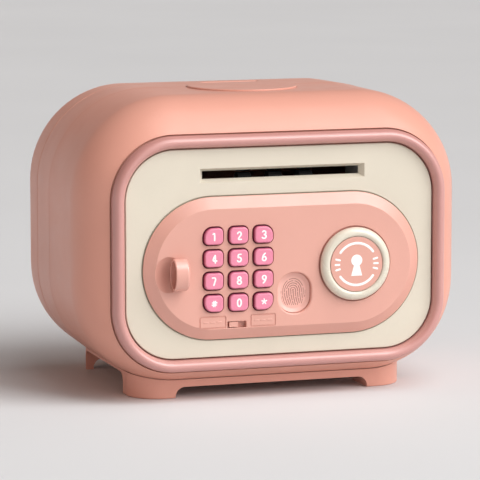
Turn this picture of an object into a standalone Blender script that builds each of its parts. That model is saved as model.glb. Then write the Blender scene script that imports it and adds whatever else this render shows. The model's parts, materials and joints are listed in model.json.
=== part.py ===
"""Toy safe coin bank: a rounded plastic case with a banknote slot, a coin slit and a hinged keypad door.

+X is to the right, +Y to the back and +Z up. The origin is on the floor, below the middle of the object.
Every dimension is in millimetres, and the mesh helpers turn it into Blender's metres.
Depths are counted from the front of the cream panel: negative in front of it, positive behind it.
"""

import math

import bmesh
import bpy
from mathutils import Vector

MM = 0.001
FACE_Y = -56.0  # where the cream panel's front lies, so that the object is centred on the origin
GAP = 0.3  # between pieces that touch
CORNER_STEPS = 6  # facets in each quarter turn of a large corner

# Case
PANEL_HALF = 80.1
PANEL_BOTTOM = 22.1
PANEL_TOP = 125.8
PANEL_RADIUS = 25.1
BEZEL_WIDTH = 7.0  # from the panel's edge to the bezel's outer edge
BEZEL_RISE = 4.0  # how far the bezel stands in front of the panel
BEZEL_BACK = 1.9
CASE_HALF = 100.0
CASE_BOTTOM = 7.2
CASE_TOP = 150.2
CASE_RADIUS = 50.0
WALL = 2.2
CASE_FRONT = 2.2
ROUNDOVER_END = 30.0
ROUNDOVER_TURN = 60.0  # degrees between the case's side and its slanted front edge
CREASE = 70.0
CREASE_TAPER = 0.025  # mm of inset for each mm behind the crease
SEAM = 96.0
BACK_ROUND_START = 109.4
CASE_BACK = 125.7
BACK_ROUND_INSET = 13.0
FLANGE_INSET = 10.1

# Base
BASE_HALF = 72.0
BASE_FRONT = 13.0
BASE_BACK = 118.0
BASE_RADIUS = 16.0
FRONT_ARCH_HALF = 50.8
REAR_ARCH_HALF = 67.5
FRONT_ARCH_TOP = 5.6
SIDE_ARCH = (34.0, 105.0)
SIDE_ARCH_TOP = 10.6

# Top plate
TOP_PLATE_RADIUS = 28.0
TOP_PLATE_DEPTH = 62.0
TOP_PLATE_RISE = 0.8
COIN_SLIT = (30.0, 3.4)
COIN_SLIT_DEPTH = 82.0

# Banknote slot and feeder
SLOT_X = 0.9
SLOT_Z = 112.5
SLOT_OUTER = (86.0, 7.0)
SLOT_INNER = (81.6, 3.9)
ROLLER_XS = (-16.0, 0.0, 16.0)
DRIVE_RADIUS = 5.3
PINCH_RADIUS = 4.5
FEED_DEPTH = 12.0
DRIVE_Z = SLOT_Z + DRIVE_RADIUS + 0.3
PINCH_Z = SLOT_Z - PINCH_RADIUS - 0.3
FEED_PLATE_X = 43.6
GEAR_X = (46.0, 49.0)
TOOTH_MODULE = 0.6
GEAR_TEETH = 24
PINION_TEETH = 10
PINION_ANGLE = math.radians(35.0)
GEAR_DISTANCE = TOOTH_MODULE * (GEAR_TEETH + PINION_TEETH) / 2 + 0.15
PINION_DEPTH = FEED_DEPTH + GEAR_DISTANCE * math.cos(PINION_ANGLE)
PINION_Z = DRIVE_Z + GEAR_DISTANCE * math.sin(PINION_ANGLE)
MOTOR_RADIUS = 6.0

# Door
DOOR_X = 0.4
DOOR_Z = 66.6
DOOR_HALF = 36.5  # half of the straight run between the round ends
DOOR_RADIUS = 35.45
DOOR_CHAMFER = 5.6
DOOR_RISE = 4.75
DOOR_PLATE_BACK = -2.35
DOOR_OPENING_RADIUS = 32.8
PLUG_RADIUS = 31.4
PLUG_RIGHT = 64.6  # kept short, so that the hinge arm passes
PLUG_WALL = 1.5
PLUG_SPLIT = 1.0  # where the door panel's wall ends and its back begins
DOOR_BACK = 14.0
DOOR_SCREWS = ((-50.0, 18.0), (-50.0, -18.0), (52.0, 5.0), (52.0, -5.0))

# Hinge
HINGE_X = 83.0
HINGE_DEPTH = 5.0
HINGE_ARM_HALF = 8.0
HINGE_ARM_RADII = (16.2, 18.2)
HINGE_PIN_RADIUS = 1.0
HINGE_BORE_RADIUS = 1.25
HINGE_KNUCKLE_RADIUS = 2.6

# Controls
KEY_X = -36.8
KEY_Z = 83.1
KEY_PITCH = (12.9, 11.1)
KEY_SIZE = (9.9, 8.5)
KEY_RADIUS = 2.5
KEY_OUTER_RADIUS = 4.5
KEY_RISE = 2.0
KEY_NAMES = (("1", "2", "3"), ("4", "5", "6"), ("7", "8", "9"), ("hash", "0", "star"))
PAD_X = 5.7
PAD_Z = 52.9
PAD_SIZE = (17.2, 20.3)
PAD_RADIUS = 8.2
PAD_SUNK = 1.8
KNOB_X = 37.1
KNOB_Z = 66.4
KNOB_RADIUS = 18.3
KNOB_RISE = 3.7
BADGE_RADIUS = 13.7
SWITCH_X = -24.5
SWITCH_Z = 38.7
SWITCH_SLOT = (9.8, 3.3)
SWITCH_TRAVEL = 3.9
PULL_X = (-58.2, -50.8)
PULL_Z = 65.2
PULL_HALF = 8.0
PULL_DEPTHS = (-13.7, -1.6)
SCOOP_CENTRE = (-59.5, -4.75, 64.6)
SCOOP_RADII = (7.0, 3.5, 9.4)
BOLT_Z = DOOR_Z
BOLT_DEPTH = 6.0

# Power
BATTERY_RADIUS = 7.0
BATTERY_LENGTH = 49.5
BATTERY_ZS = (36.8, 51.4, 66.0)
BATTERY_DEPTH = 115.4
BOX_HALF = 31.5
BOX_BOTTOM = 27.5
BOX_TOP = 82.6
BOX_WELL_TOP = 74.4
HATCH = (30.0, 81.4)  # lowest and highest edge of the opening for the battery cover
COVER_SCREW_Z = 78.4
BOX_DEPTHS = (106.0, 123.1)
REAR_SCREWS = ((-72.0, 118.0), (72.0, 118.0), (-72.0, 39.0), (72.0, 39.0))


# ---------------------------------------------------------------- outlines


def arc(cx, cy, radius, start, end, steps):
    """Points from start to end degrees about a centre."""
    turns = [math.radians(start + (end - start) * i / steps) for i in range(steps + 1)]
    return [(cx + radius * math.cos(t), cy + radius * math.sin(t)) for t in turns]


def rounded_rectangle(x0, x1, y0, y1, radii, steps=CORNER_STEPS):
    """Outline with its own radius at the corners (right, top), (left, top), (left, bottom), (right, bottom)."""
    if not isinstance(radii, (tuple, list)):
        radii = (radii,) * 4
    points = []
    corners = ((x1, y1, -1, -1), (x0, y1, 1, -1), (x0, y0, 1, 1), (x1, y0, -1, 1))
    for quarter, ((x, y, sx, sy), radius) in enumerate(zip(corners, radii)):
        start = 90.0 * quarter
        points += arc(x + sx * radius, y + sy * radius, radius, start, start + 90.0, steps)
    return points


def stadium(x, z, half, radius, steps=CORNER_STEPS):
    """Two half circles joined by straight runs."""
    right = arc(x + half, z, radius, -90.0, 90.0, 2 * steps)
    left = arc(x - half, z, radius, 90.0, 270.0, 2 * steps)
    return right + left


def plug_outline(radius):
    """The part of the door that enters the opening: shortened at the hinge end."""
    left = DOOR_X - DOOR_HALF
    right = PLUG_RIGHT - PLUG_RADIUS
    return stadium((left + right) / 2, DOOR_Z, (right - left) / 2, radius)


def panel_outline(inset):
    return rounded_rectangle(
        -PANEL_HALF + inset,
        PANEL_HALF - inset,
        PANEL_BOTTOM + inset,
        PANEL_TOP - inset,
        PANEL_RADIUS - inset,
    )


def case_outline(rise, inset):
    """Case section: rise is 0 at the bezel's outer edge and 1 at the widest section."""

    def between(low, high):
        return low + (high - low) * rise

    half = between(PANEL_HALF + BEZEL_WIDTH, CASE_HALF) - inset
    bottom = between(PANEL_BOTTOM - BEZEL_WIDTH, CASE_BOTTOM) + inset
    top = between(PANEL_TOP + BEZEL_WIDTH, CASE_TOP) - inset
    radius = between(PANEL_RADIUS + BEZEL_WIDTH, CASE_RADIUS) - inset
    return rounded_rectangle(-half, half, bottom, top, radius)


# ---------------------------------------------------------------- solids


def across(points, depth):
    """An (x, z) outline as a loop at this depth behind the panel's front."""
    return [(x, FACE_Y + depth, z) for x, z in points]


def loft(loops, closed=False):
    """Bands between loops of equal length, capped at both ends or closed into a ring."""
    size = len(loops[0])
    vertices = [point for loop in loops for point in loop]
    faces = []
    pairs = list(zip(range(len(loops) - 1), range(1, len(loops))))
    if closed:
        pairs.append((len(loops) - 1, 0))
    for first, second in pairs:
        for i in range(size):
            j = (i + 1) % size
            a, b = first * size, second * size
            faces.append((a + i, a + j, b + j, b + i))
    if not closed:
        faces.append(tuple(range(size)))
        faces.append(tuple(range((len(loops) - 1) * size, len(loops) * size)))
    return vertices, faces


def plate(outline, front, back):
    """An (x, z) outline given thickness along Y."""
    return loft([across(outline, front), across(outline, back)])


def column(outline, bottom, top):
    """An (x, depth) outline given height."""
    return loft([[(x, FACE_Y + y, z) for x, y in outline] for z in (bottom, top)])


def bar(outline, left, right):
    """A (depth, z) outline given length along X."""
    return loft([[(x, FACE_Y + y, z) for y, z in outline] for x in (left, right)])


def box(x0, x1, y0, y1, z0, z1):
    return plate([(x0, z0), (x1, z0), (x1, z1), (x0, z1)], y0, y1)


def disc(x, z, radius, front, back, steps=24):
    return plate(arc(x, z, radius, 0.0, 360.0 - 360.0 / steps, steps - 1), front, back)


def rod(depth, z, radius, left, right, steps=16):
    return bar(arc(depth, z, radius, 0.0, 360.0 - 360.0 / steps, steps - 1), left, right)


def turned_about_y(x, z, profile, steps=24):
    """A solid of revolution about Y from (radius, depth) points, both ends capped."""
    loops = []
    for radius, depth in profile:
        loops.append(across(arc(x, z, radius, 0.0, 360.0 - 360.0 / steps, steps - 1), depth))
    return loft(loops)


def turned_about_x(depth, z, profile, steps=16):
    """A solid of revolution about X from (radius, x) points, both ends capped."""
    loops = []
    for radius, x in profile:
        circle = arc(depth, z, radius, 0.0, 360.0 - 360.0 / steps, steps - 1)
        loops.append([(x, FACE_Y + y, height) for y, height in circle])
    return loft(loops)


def ellipsoid(centre, radii, steps=16, rings=7):
    x, depth, z = centre
    profile = []
    for i in range(rings + 1):
        turn = math.pi * (0.04 + 0.92 * i / rings)
        profile.append((math.sin(turn), -math.cos(turn)))
    loops = []
    for radius, along in profile:
        circle = arc(0.0, 0.0, radius, 0.0, 360.0 - 360.0 / steps, steps - 1)
        outline = [(x + radii[0] * a, z + radii[2] * b) for a, b in circle]
        loops.append(across(outline, depth + radii[1] * along))
    return loft(loops)


def gear_outline(depth, z, teeth, phase):
    """A spur gear in the (depth, z) plane, with one tooth pointing along phase."""
    pitch_radius = TOOTH_MODULE * teeth / 2
    root, tip = pitch_radius - 0.7, pitch_radius + 0.55
    step = 2 * math.pi / teeth
    points = []
    for tooth in range(teeth):
        centre = phase + tooth * step
        for radius, share in ((root, -0.30), (tip, -0.13), (tip, 0.13), (root, 0.30)):
            turn = centre + share * step
            points.append((depth + radius * math.cos(turn), z + radius * math.sin(turn)))
    return points


# ---------------------------------------------------------------- objects


def clear_scene():
    for old in list(bpy.data.objects):
        bpy.data.objects.remove(old, do_unlink=True)


def material(name, colour, roughness, metallic=0.0):
    made = bpy.data.materials.new(name)
    made.use_nodes = True
    shader = made.node_tree.nodes["Principled BSDF"]
    shader.inputs["Base Color"].default_value = (*colour, 1.0)
    shader.inputs["Roughness"].default_value = roughness
    shader.inputs["Metallic"].default_value = metallic
    return made


def solid(name, shape):
    """A mesh object from (vertices in mm, faces), its faces turned outwards."""
    vertices, faces = shape
    mesh = bpy.data.meshes.new(name)
    mesh.from_pydata([Vector(v) * MM for v in vertices], [], faces)
    edit = bmesh.new()
    edit.from_mesh(mesh)
    bmesh.ops.recalc_face_normals(edit, faces=edit.faces)
    edit.to_mesh(mesh)
    edit.free()
    made = bpy.data.objects.new(name, mesh)
    bpy.context.scene.collection.objects.link(made)
    return made


def combine(target, shapes, operation):
    """Runs one Boolean for each shape and keeps only the result."""
    tools = [solid(f"{target.name}_tool", shape) for shape in shapes]
    for tool in tools:
        modifier = target.modifiers.new(operation, "BOOLEAN")
        modifier.operation = operation
        modifier.solver = "EXACT"
        modifier.object = tool
    graph = bpy.context.evaluated_depsgraph_get()
    graph.update()
    result = bpy.data.meshes.new_from_object(target.evaluated_get(graph))
    target.modifiers.clear()
    target.data = result
    for tool in tools:
        bpy.data.objects.remove(tool, do_unlink=True)


def part(name, shape, finish, parent=None, origin=(0.0, 0.0, 0.0), add=(), cut=()):
    """One named piece. origin is (x, depth, z), on the joint's axis where the piece moves."""
    made = solid(name, shape)
    if add:
        combine(made, add, "UNION")
    if cut:
        combine(made, cut, "DIFFERENCE")
    at = Vector((origin[0], origin[1] + FACE_Y, origin[2])) * MM if any(origin) else Vector()
    for vertex in made.data.vertices:
        vertex.co -= at
    made.data.materials.clear()
    made.data.materials.append(finish)
    made.data.shade_smooth()
    made.data.set_sharp_from_angle(angle=math.radians(30.0))
    made.location = at
    hang(made, parent)
    return made


def world_place(thing):
    """Where an unrotated object lies in the world."""
    return thing.location + (world_place(thing.parent) if thing.parent else Vector())


def hang(thing, parent):
    """Parents an object without moving it."""
    if parent:
        thing.location = thing.location - world_place(parent)
        thing.parent = parent


def pivot(name, x, depth, z, parent=None):
    """An empty on a joint's axis."""
    made = bpy.data.objects.new(name, None)
    made.location = Vector((x, FACE_Y + depth, z)) * MM
    bpy.context.scene.collection.objects.link(made)
    hang(made, parent)
    return made


# ---------------------------------------------------------------- case


def crease_inset(depth):
    return max(0.0, depth - CREASE) * CREASE_TAPER


def roundover(inward):
    """Loops of the front roundover from the bezel to the widest section, pushed inward by a wall."""
    whole = math.radians(ROUNDOVER_TURN)
    reach = (ROUNDOVER_END - CASE_FRONT) / math.sin(whole)
    loops = []
    for i in range(5):
        turn = whole * (1.0 - i / 4)
        rise = 1.0 - (1.0 - math.cos(turn)) / (1.0 - math.cos(whole))
        depth = ROUNDOVER_END - reach * math.sin(turn) + inward * math.sin(turn)
        loops.append((rise, inward * math.cos(turn), depth))
    return loops


def back_round(inward):
    """Loops of the rounded rear edge, pushed inward by a wall."""
    reach = CASE_BACK - BACK_ROUND_START
    start = crease_inset(BACK_ROUND_START)
    loops = []
    for i in range(4):
        turn = math.radians(30.0 * i)
        inset = start + BACK_ROUND_INSET * (1.0 - math.cos(turn)) + inward * math.cos(turn)
        loops.append((1.0, inset, BACK_ROUND_START + (reach - inward) * math.sin(turn)))
    return loops


def case_loops(stations):
    return [across(case_outline(rise, inset), depth) for rise, inset, depth in stations]


def case_boss(x, z):
    """A screw boss with a rib that reaches the nearest corner of the case."""
    side, level = math.copysign(1.0, x), (1.0 if z > (CASE_TOP + CASE_BOTTOM) / 2 else -1.0)
    corner_z = CASE_TOP - CASE_RADIUS if level > 0 else CASE_BOTTOM + CASE_RADIUS
    corner = Vector((side * (CASE_HALF - CASE_RADIUS), corner_z))
    outward = (Vector((x, z)) - corner).normalized()
    end = corner + outward * (CASE_RADIUS - 1.4)
    across_rib = Vector((-outward.y, outward.x)) * 1.2
    start = Vector((x, z))
    corners = (start - across_rib, end - across_rib, end + across_rib, start + across_rib)
    rib = plate([tuple(c) for c in corners], 81.0, SEAM - 4.0)
    return [disc(x, z, 4.5, 80.0, SEAM, 12), rib]


def make_case(pink, mauve, cream, steel):
    seam_inset = crease_inset(SEAM)
    stations = [(rise, inset - GAP * (1.0 - rise), depth) for rise, inset, depth in roundover(0.0)]
    stations += [(1.0, 0.0, CREASE), (1.0, seam_inset, SEAM), (1.0, seam_inset + WALL, SEAM)]
    stations += [(1.0, WALL, CREASE)] + roundover(WALL)[::-1]
    stations += [(0.0, FLANGE_INSET, CASE_FRONT + WALL), (0.0, FLANGE_INSET, CASE_FRONT)]
    notch = box(76.5, 85.9, 1.5, 4.8, DOOR_Z - 14.2, DOOR_Z + 14.2)
    plate_seat = column(
        arc(0.0, TOP_PLATE_DEPTH, TOP_PLATE_RADIUS + GAP, 0.0, 350.0, 35), CASE_TOP - 1.2, CASE_TOP + 3.0
    )
    chute_hole = box(-17.6, 17.6, COIN_SLIT_DEPTH - 4.6, COIN_SLIT_DEPTH + 4.6, 140.0, CASE_TOP + 2.0)
    bosses = [shape for x, z in REAR_SCREWS for shape in case_boss(x, z)]
    bores = [disc(x, z, 1.5, 82.0, SEAM + 1.0, 8) for x, z in REAR_SCREWS]
    part(
        "main_shell",
        loft(case_loops(stations), closed=True),
        pink,
        add=bosses,
        cut=[notch, plate_seat, chute_hole] + bores,
    )

    lip = seam_inset + WALL + GAP
    stations = back_round(WALL)[::-1]
    stations += [(1.0, lip + 1.5, 100.0), (1.0, lip + 1.5, SEAM - 3.5), (1.0, lip, SEAM - 3.5)]
    stations += [(1.0, lip, SEAM + GAP), (1.0, seam_inset, SEAM + GAP)] + back_round(0.0)
    tubes = [disc(x, z, 4.5, SEAM + 0.6, 124.0, 12) for x, z in REAR_SCREWS]
    wells = [disc(x, z, 3.6, 100.0, 127.0, 12) for x, z in REAR_SCREWS]
    holes = [disc(x, z, 1.6, 94.0, 101.0, 8) for x, z in REAR_SCREWS]
    hatch = box(-29.0, 29.0, 120.0, 128.0, *HATCH)
    part("rear_cover", loft(case_loops(stations)), pink, add=tubes, cut=wells + holes + [hatch])
    for number, (x, z) in enumerate(REAR_SCREWS, 1):
        profile = [(1.2, 84.0), (1.2, 100.3), (3.2, 100.3), (3.2, 102.4), (2.4, 102.9)]
        slot = box(x - 2.4, x + 2.4, 102.2, 103.5, z - 0.4, z + 0.4)
        part(f"rear_screw_{number}", turned_about_y(x, z, profile, 10), steel, cut=[slot])

    ring = [(0.0, BEZEL_BACK)]
    half = (BEZEL_WIDTH - GAP) / 2
    for i in range(9):
        turn = math.radians(22.5 * i)
        rise = (BEZEL_RISE + 1.0) * math.sin(turn)
        ring.append((half - half * math.cos(turn), 1.0 - rise))
    ring.append((2 * half, BEZEL_BACK))
    loops = [across(case_outline(0.0, inset), depth) for inset, depth in ring]
    part("bezel_ring", loft(loops, closed=True), mauve)

    loops = [(0.6, 0.0), (0.0, 0.6), (0.0, BEZEL_BACK), (3.5, BEZEL_BACK), (3.5, 3.5)]
    opening = plate(stadium(DOOR_X, DOOR_Z, DOOR_HALF, DOOR_OPENING_RADIUS), -2.0, 6.0)
    part(
        "front_panel",
        loft([across(panel_outline(inset), depth) for inset, depth in loops]),
        cream,
        cut=[opening, slot_cutter()],
    )


def slot_cutter():
    """A bevelled slot: its sides run from the outer size at the front to the inner size at the back."""
    loops = []
    for depth in (-0.7, 4.2):
        share = depth / 3.5
        width = SLOT_OUTER[0] + (SLOT_INNER[0] - SLOT_OUTER[0]) * share
        height = SLOT_OUTER[1] + (SLOT_INNER[1] - SLOT_OUTER[1]) * share
        corners = [(-width, -height), (width, -height), (width, height), (-width, height)]
        loops.append(across([(SLOT_X + x / 2, SLOT_Z + z / 2) for x, z in corners], depth))
    return loft(loops)


def make_base(pink):
    plan = rounded_rectangle(-BASE_HALF, BASE_HALF, BASE_FRONT, BASE_BACK, BASE_RADIUS, 6)
    case = [(rise, inset - GAP, depth) for rise, inset, depth in roundover(0.0)]
    case += [(1.0, -GAP, CREASE), (1.0, crease_inset(BACK_ROUND_START) - GAP, BACK_ROUND_START)]
    case += [(1.0, inset - GAP, depth + GAP) for _, inset, depth in back_round(0.0)[1:]]
    arches = [
        rounded_rectangle(low, high, -6.0, top, (5.0, 5.0, 0.1, 0.1), 4)
        for low, high, top in (
            (-FRONT_ARCH_HALF, FRONT_ARCH_HALF, FRONT_ARCH_TOP),
            (-REAR_ARCH_HALF, REAR_ARCH_HALF, FRONT_ARCH_TOP),
            (*SIDE_ARCH, SIDE_ARCH_TOP),
        )
    ]
    part(
        "base_frame",
        column(plan, 0.0, 20.0),
        pink,
        cut=[
            loft(case_loops(case)),
            plate(arches[0], -5.0, 60.0),
            plate(arches[1], 55.0, 130.0),
            bar(arches[2], -90.0, 90.0),
        ],
    )


def make_coin_plate(pink):
    top = CASE_TOP + TOP_PLATE_RISE
    steps = 36
    loops = []
    for radius, z in ((TOP_PLATE_RADIUS, CASE_TOP - 0.9), (TOP_PLATE_RADIUS, top - 0.4), (27.5, top)):
        circle = arc(0.0, TOP_PLATE_DEPTH, radius, 0.0, 360.0 - 360.0 / steps, steps - 1)
        loops.append([(x, FACE_Y + y, z) for x, y in circle])
    length, width = COIN_SLIT
    collar = box(-17.2, 17.2, COIN_SLIT_DEPTH - 4.2, COIN_SLIT_DEPTH + 4.2, 138.0, CASE_TOP - 0.5)
    slit = box(
        -length / 2,
        length / 2,
        COIN_SLIT_DEPTH - width / 2,
        COIN_SLIT_DEPTH + width / 2,
        130.0,
        CASE_TOP + 5.0,
    )
    part("coin_plate", loft(loops), pink, add=[collar], cut=[slit])


# ---------------------------------------------------------------- power


def make_power(white, steel, green, pink):
    outer = box(-BOX_HALF, BOX_HALF, BOX_DEPTHS[0], BOX_DEPTHS[1], BOX_BOTTOM, BOX_TOP)
    well = box(-BOX_HALF + 1.8, BOX_HALF - 1.8, BOX_DEPTHS[0] + 1.8, 126.0, BOX_BOTTOM + 1.8, BOX_WELL_TOP)
    bore = disc(0.0, COVER_SCREW_Z, 1.5, 114.0, 126.0, 12)
    part("battery_box", outer, white, cut=[well, bore])
    for number, z in enumerate(BATTERY_ZS, 1):
        end = BATTERY_LENGTH / 2
        side = 1.0 if number % 2 else -1.0
        profile = [(BATTERY_RADIUS, -end), (BATTERY_RADIUS, end), (2.7, end), (2.7, end + 1.0)]
        profile = [(radius, side * x) for radius, x in profile]
        part(f"battery_{number}", turned_about_x(BATTERY_DEPTH, z, profile, 20), green)
    for name, side in (("battery_contact_left", -1.0), ("battery_contact_right", 1.0)):
        inner, outer_x = sorted((side * 28.8, side * 29.3))
        strip = box(inner, outer_x, BATTERY_DEPTH - 5.0, BATTERY_DEPTH + 5.0, 31.0, 73.0)
        springs = []
        for number, z in enumerate(BATTERY_ZS, 1):
            spring_side = -1.0 if number % 2 else 1.0
            length = 3.2 if spring_side == side else 1.6
            base, tip = side * 29.0, side * (29.0 - length)
            springs.append(turned_about_x(BATTERY_DEPTH, z, [(3.6, base), (2.6, tip)], 12))
        part(name, strip, steel, add=springs)
    cover = box(-28.7, 28.7, BOX_DEPTHS[1] + GAP, CASE_BACK, HATCH[0] + GAP, HATCH[1] - GAP)
    hole = disc(0.0, COVER_SCREW_Z, 1.5, 122.0, 128.0, 12)
    counterbore = disc(0.0, COVER_SCREW_Z, 2.8, CASE_BACK - 1.3, 128.0, 16)
    part("battery_cover", cover, pink, cut=[hole, counterbore])
    head = CASE_BACK - 1.0
    profile = [(1.2, 115.0), (1.2, head), (2.4, head), (2.4, CASE_BACK - 0.1)]
    slot = box(-1.8, 1.8, CASE_BACK - 0.5, 127.0, COVER_SCREW_Z - 0.35, COVER_SCREW_Z + 0.35)
    part("battery_cover_screw", turned_about_y(0.0, COVER_SCREW_Z, profile, 12), steel, cut=[slot])


# ---------------------------------------------------------------- banknote feeder


def make_feeder(white, steel, rubber, brass):
    inner, outer = FEED_PLATE_X, FEED_PLATE_X + 1.6
    left_plate = box(-outer, -inner, 4.8, 27.0, 101.5, 132.0)
    right_plate = box(inner, outer, 4.8, 27.0, 101.5, 132.0)
    top_plate = box(-outer, outer, 4.8, 27.0, 130.4, 132.0)
    bores = [
        rod(FEED_DEPTH, DRIVE_Z, 1.8, -50.0, 50.0, 12),
        rod(FEED_DEPTH, PINCH_Z, 1.8, -50.0, 50.0, 12),
        rod(PINION_DEPTH, PINION_Z, 1.4, 40.0, 50.0, 12),
    ]
    part("feed_frame", top_plate, white, add=[left_plate, right_plate], cut=bores)

    drive = pivot("feed_axis", 0.0, FEED_DEPTH, DRIVE_Z)
    at = (0.0, FEED_DEPTH, DRIVE_Z)
    part("feed_shaft", rod(*at[1:], 1.5, -46.5, 50.0, 12), steel, drive, at)
    for number, x in enumerate(ROLLER_XS, 1):
        tyre = rod(*at[1:], DRIVE_RADIUS, x - 3.5, x + 3.5, 20)
        bore = rod(*at[1:], 1.8, x - 5.0, x + 5.0, 12)
        part(f"feed_roller_{number}", tyre, rubber, drive, at, cut=[bore])
    teeth = bar(gear_outline(*at[1:], GEAR_TEETH, PINION_ANGLE), *GEAR_X)
    part("feed_gear", teeth, white, drive, at, cut=[rod(*at[1:], 1.8, 44.0, 52.0, 12)])

    at = (0.0, FEED_DEPTH, PINCH_Z)
    profile = [(1.5, -46.5)]
    for x in ROLLER_XS:
        profile += [(1.5, x - 3.5), (PINCH_RADIUS, x - 3.5), (PINCH_RADIUS, x + 3.5), (1.5, x + 3.5)]
    profile.append((1.5, 46.5))
    part("pinch_roller", turned_about_x(*at[1:], profile, 16), rubber, None, at)

    motor = rod(PINION_DEPTH, PINION_Z, MOTOR_RADIUS, 21.0, FEED_PLATE_X - 0.4, 20)
    part("feed_motor", motor, steel)
    at = (0.0, PINION_DEPTH, PINION_Z)
    phase = PINION_ANGLE + math.pi + math.pi / PINION_TEETH
    teeth = bar(gear_outline(*at[1:], PINION_TEETH, phase), *GEAR_X)
    stub = rod(*at[1:], 1.0, FEED_PLATE_X - 0.1, 49.6, 12)
    part("motor_pinion", teeth, brass, None, at, add=[stub])


# ---------------------------------------------------------------- door


def make_door(pink, white, steel, green, rubber, hinge):
    across_door = [
        across(stadium(DOOR_X, DOOR_Z, DOOR_HALF, DOOR_RADIUS - DOOR_CHAMFER), -DOOR_RISE),
        across(stadium(DOOR_X, DOOR_Z, DOOR_HALF, DOOR_RADIUS), -0.9),
        across(stadium(DOOR_X, DOOR_Z, DOOR_HALF, DOOR_RADIUS), -0.35),
        across(plug_outline(PLUG_RADIUS), -0.35),
        across(plug_outline(PLUG_RADIUS), PLUG_SPLIT),
        across(plug_outline(PLUG_RADIUS - PLUG_WALL), PLUG_SPLIT),
        across(plug_outline(PLUG_RADIUS - PLUG_WALL), DOOR_PLATE_BACK),
    ]
    scoop_back = box(-66.0, -49.5, -2.6, 0.8, DOOR_Z - 11.0, DOOR_Z + 8.8)
    screw_posts = [disc(x, DOOR_Z + dz, 3.0, -2.6, 1.2, 12) for x, dz in DOOR_SCREWS]
    cuts = [ellipsoid(SCOOP_CENTRE, SCOOP_RADII), bar(pull_outline(-0.35), PULL_X[0] - 0.35, PULL_X[1] + 0.35)]
    cuts += [disc(x, DOOR_Z + dz, 1.5, -1.9, 3.0, 12) for x, dz in DOOR_SCREWS]
    cuts += [plate(key_outline(row, col, 0.25), -8.0, -1.0) for row in range(4) for col in range(3)]
    cuts.append(plate(pad_outline(0.0), -8.0, -1.0))
    cuts.append(disc(KNOB_X, KNOB_Z, 4.4, -8.0, -1.0))
    cuts.append(box(*centred(SWITCH_X, SWITCH_SLOT[0]), -8.0, -1.0, *centred(SWITCH_Z, SWITCH_SLOT[1])))
    at = (HINGE_X, HINGE_DEPTH, DOOR_Z)
    part("door_panel", loft(across_door), pink, hinge, at, add=[scoop_back] + screw_posts, cut=cuts)

    tub = [
        across(plug_outline(PLUG_RADIUS - 2.0), DOOR_BACK - 2.0),
        across(plug_outline(PLUG_RADIUS - 2.0), PLUG_SPLIT + GAP),
        across(plug_outline(PLUG_RADIUS), PLUG_SPLIT + GAP),
        across(plug_outline(PLUG_RADIUS), DOOR_BACK),
    ]
    posts = [disc(x, DOOR_Z + dz, 3.2, 1.6, DOOR_BACK - 1.0, 12) for x, dz in DOOR_SCREWS]
    cuts = [disc(x, DOOR_Z + dz, 1.6, 0.0, DOOR_BACK + 2.0, 12) for x, dz in DOOR_SCREWS]
    cuts.append(box(-72.0, -64.0, BOLT_DEPTH - 2.3, BOLT_DEPTH + 2.3, BOLT_Z - 5.2, BOLT_Z + 5.2))
    cuts += [box(-25.0, -5.0, 10.0, 16.0, DOOR_Z + dz - 0.9, DOOR_Z + dz + 0.9) for dz in (-8, -4, 0, 4, 8)]
    part("door_back", loft(tub), white, hinge, at, add=posts, cut=cuts)
    for number, (x, dz) in enumerate(DOOR_SCREWS, 1):
        head = DOOR_BACK + GAP + (2.3 if x > 0 else 0.0)
        profile = [(1.2, -1.5), (1.2, head), (2.6, head), (2.6, head + 1.2), (2.0, head + 1.6)]
        z = DOOR_Z + dz
        slot = box(x - 2.0, x + 2.0, head + 0.9, head + 3.0, z - 0.35, z + 0.35)
        part(f"door_screw_{number}", turned_about_y(x, z, profile, 10), steel, hinge, at, cut=[slot])

    sheet = rounded_rectangle(-45.0, 16.0, 41.0, 92.0, 2.0, 3)
    part("keypad_membrane", plate(sheet, 0.1, 1.1), rubber, hinge, at)
    sheet = rounded_rectangle(-45.0, 16.5, 40.5, 92.5, 1.0, 2)
    part("keypad_board", plate(sheet, 1.5, 3.1), green, hinge, at)
    profile = [(13.0, 11.6), (13.0, 9.0), (9.0, 8.6), (7.0, 5.4), (4.0, 5.4)]
    part("speaker", turned_about_y(-15.0, DOOR_Z, profile, 20), steel, hinge, at)

    hollow = bar(pull_outline(1.3), PULL_X[0] - 1.0, PULL_X[1] - 1.2)
    part("door_pull", bar(pull_outline(0.0), *PULL_X), pink, hinge, at, cut=[hollow])
    coil = box(-56.0, -46.0, BOLT_DEPTH - 2.6, BOLT_DEPTH + 5.4, BOLT_Z - 6.5, BOLT_Z + 6.5)
    bore = rod(BOLT_DEPTH, BOLT_Z, 1.8, -60.0, -48.0, 12)
    part("latch_coil", coil, steel, hinge, at, cut=[bore])
    make_hinge_arm(steel, hinge, at)


def centred(middle, size):
    return middle - size / 2, middle + size / 2


def pull_outline(inward):
    """The oval section of the finger pull, in (depth, z)."""
    front, back = PULL_DEPTHS
    middle, half = (front + back) / 2, (back - front) / 2 - inward
    points = arc(0.0, 0.0, 1.0, 0.0, 345.0, 23)
    return [(middle + half * a, PULL_Z + (PULL_HALF - inward) * b) for a, b in points]


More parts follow.
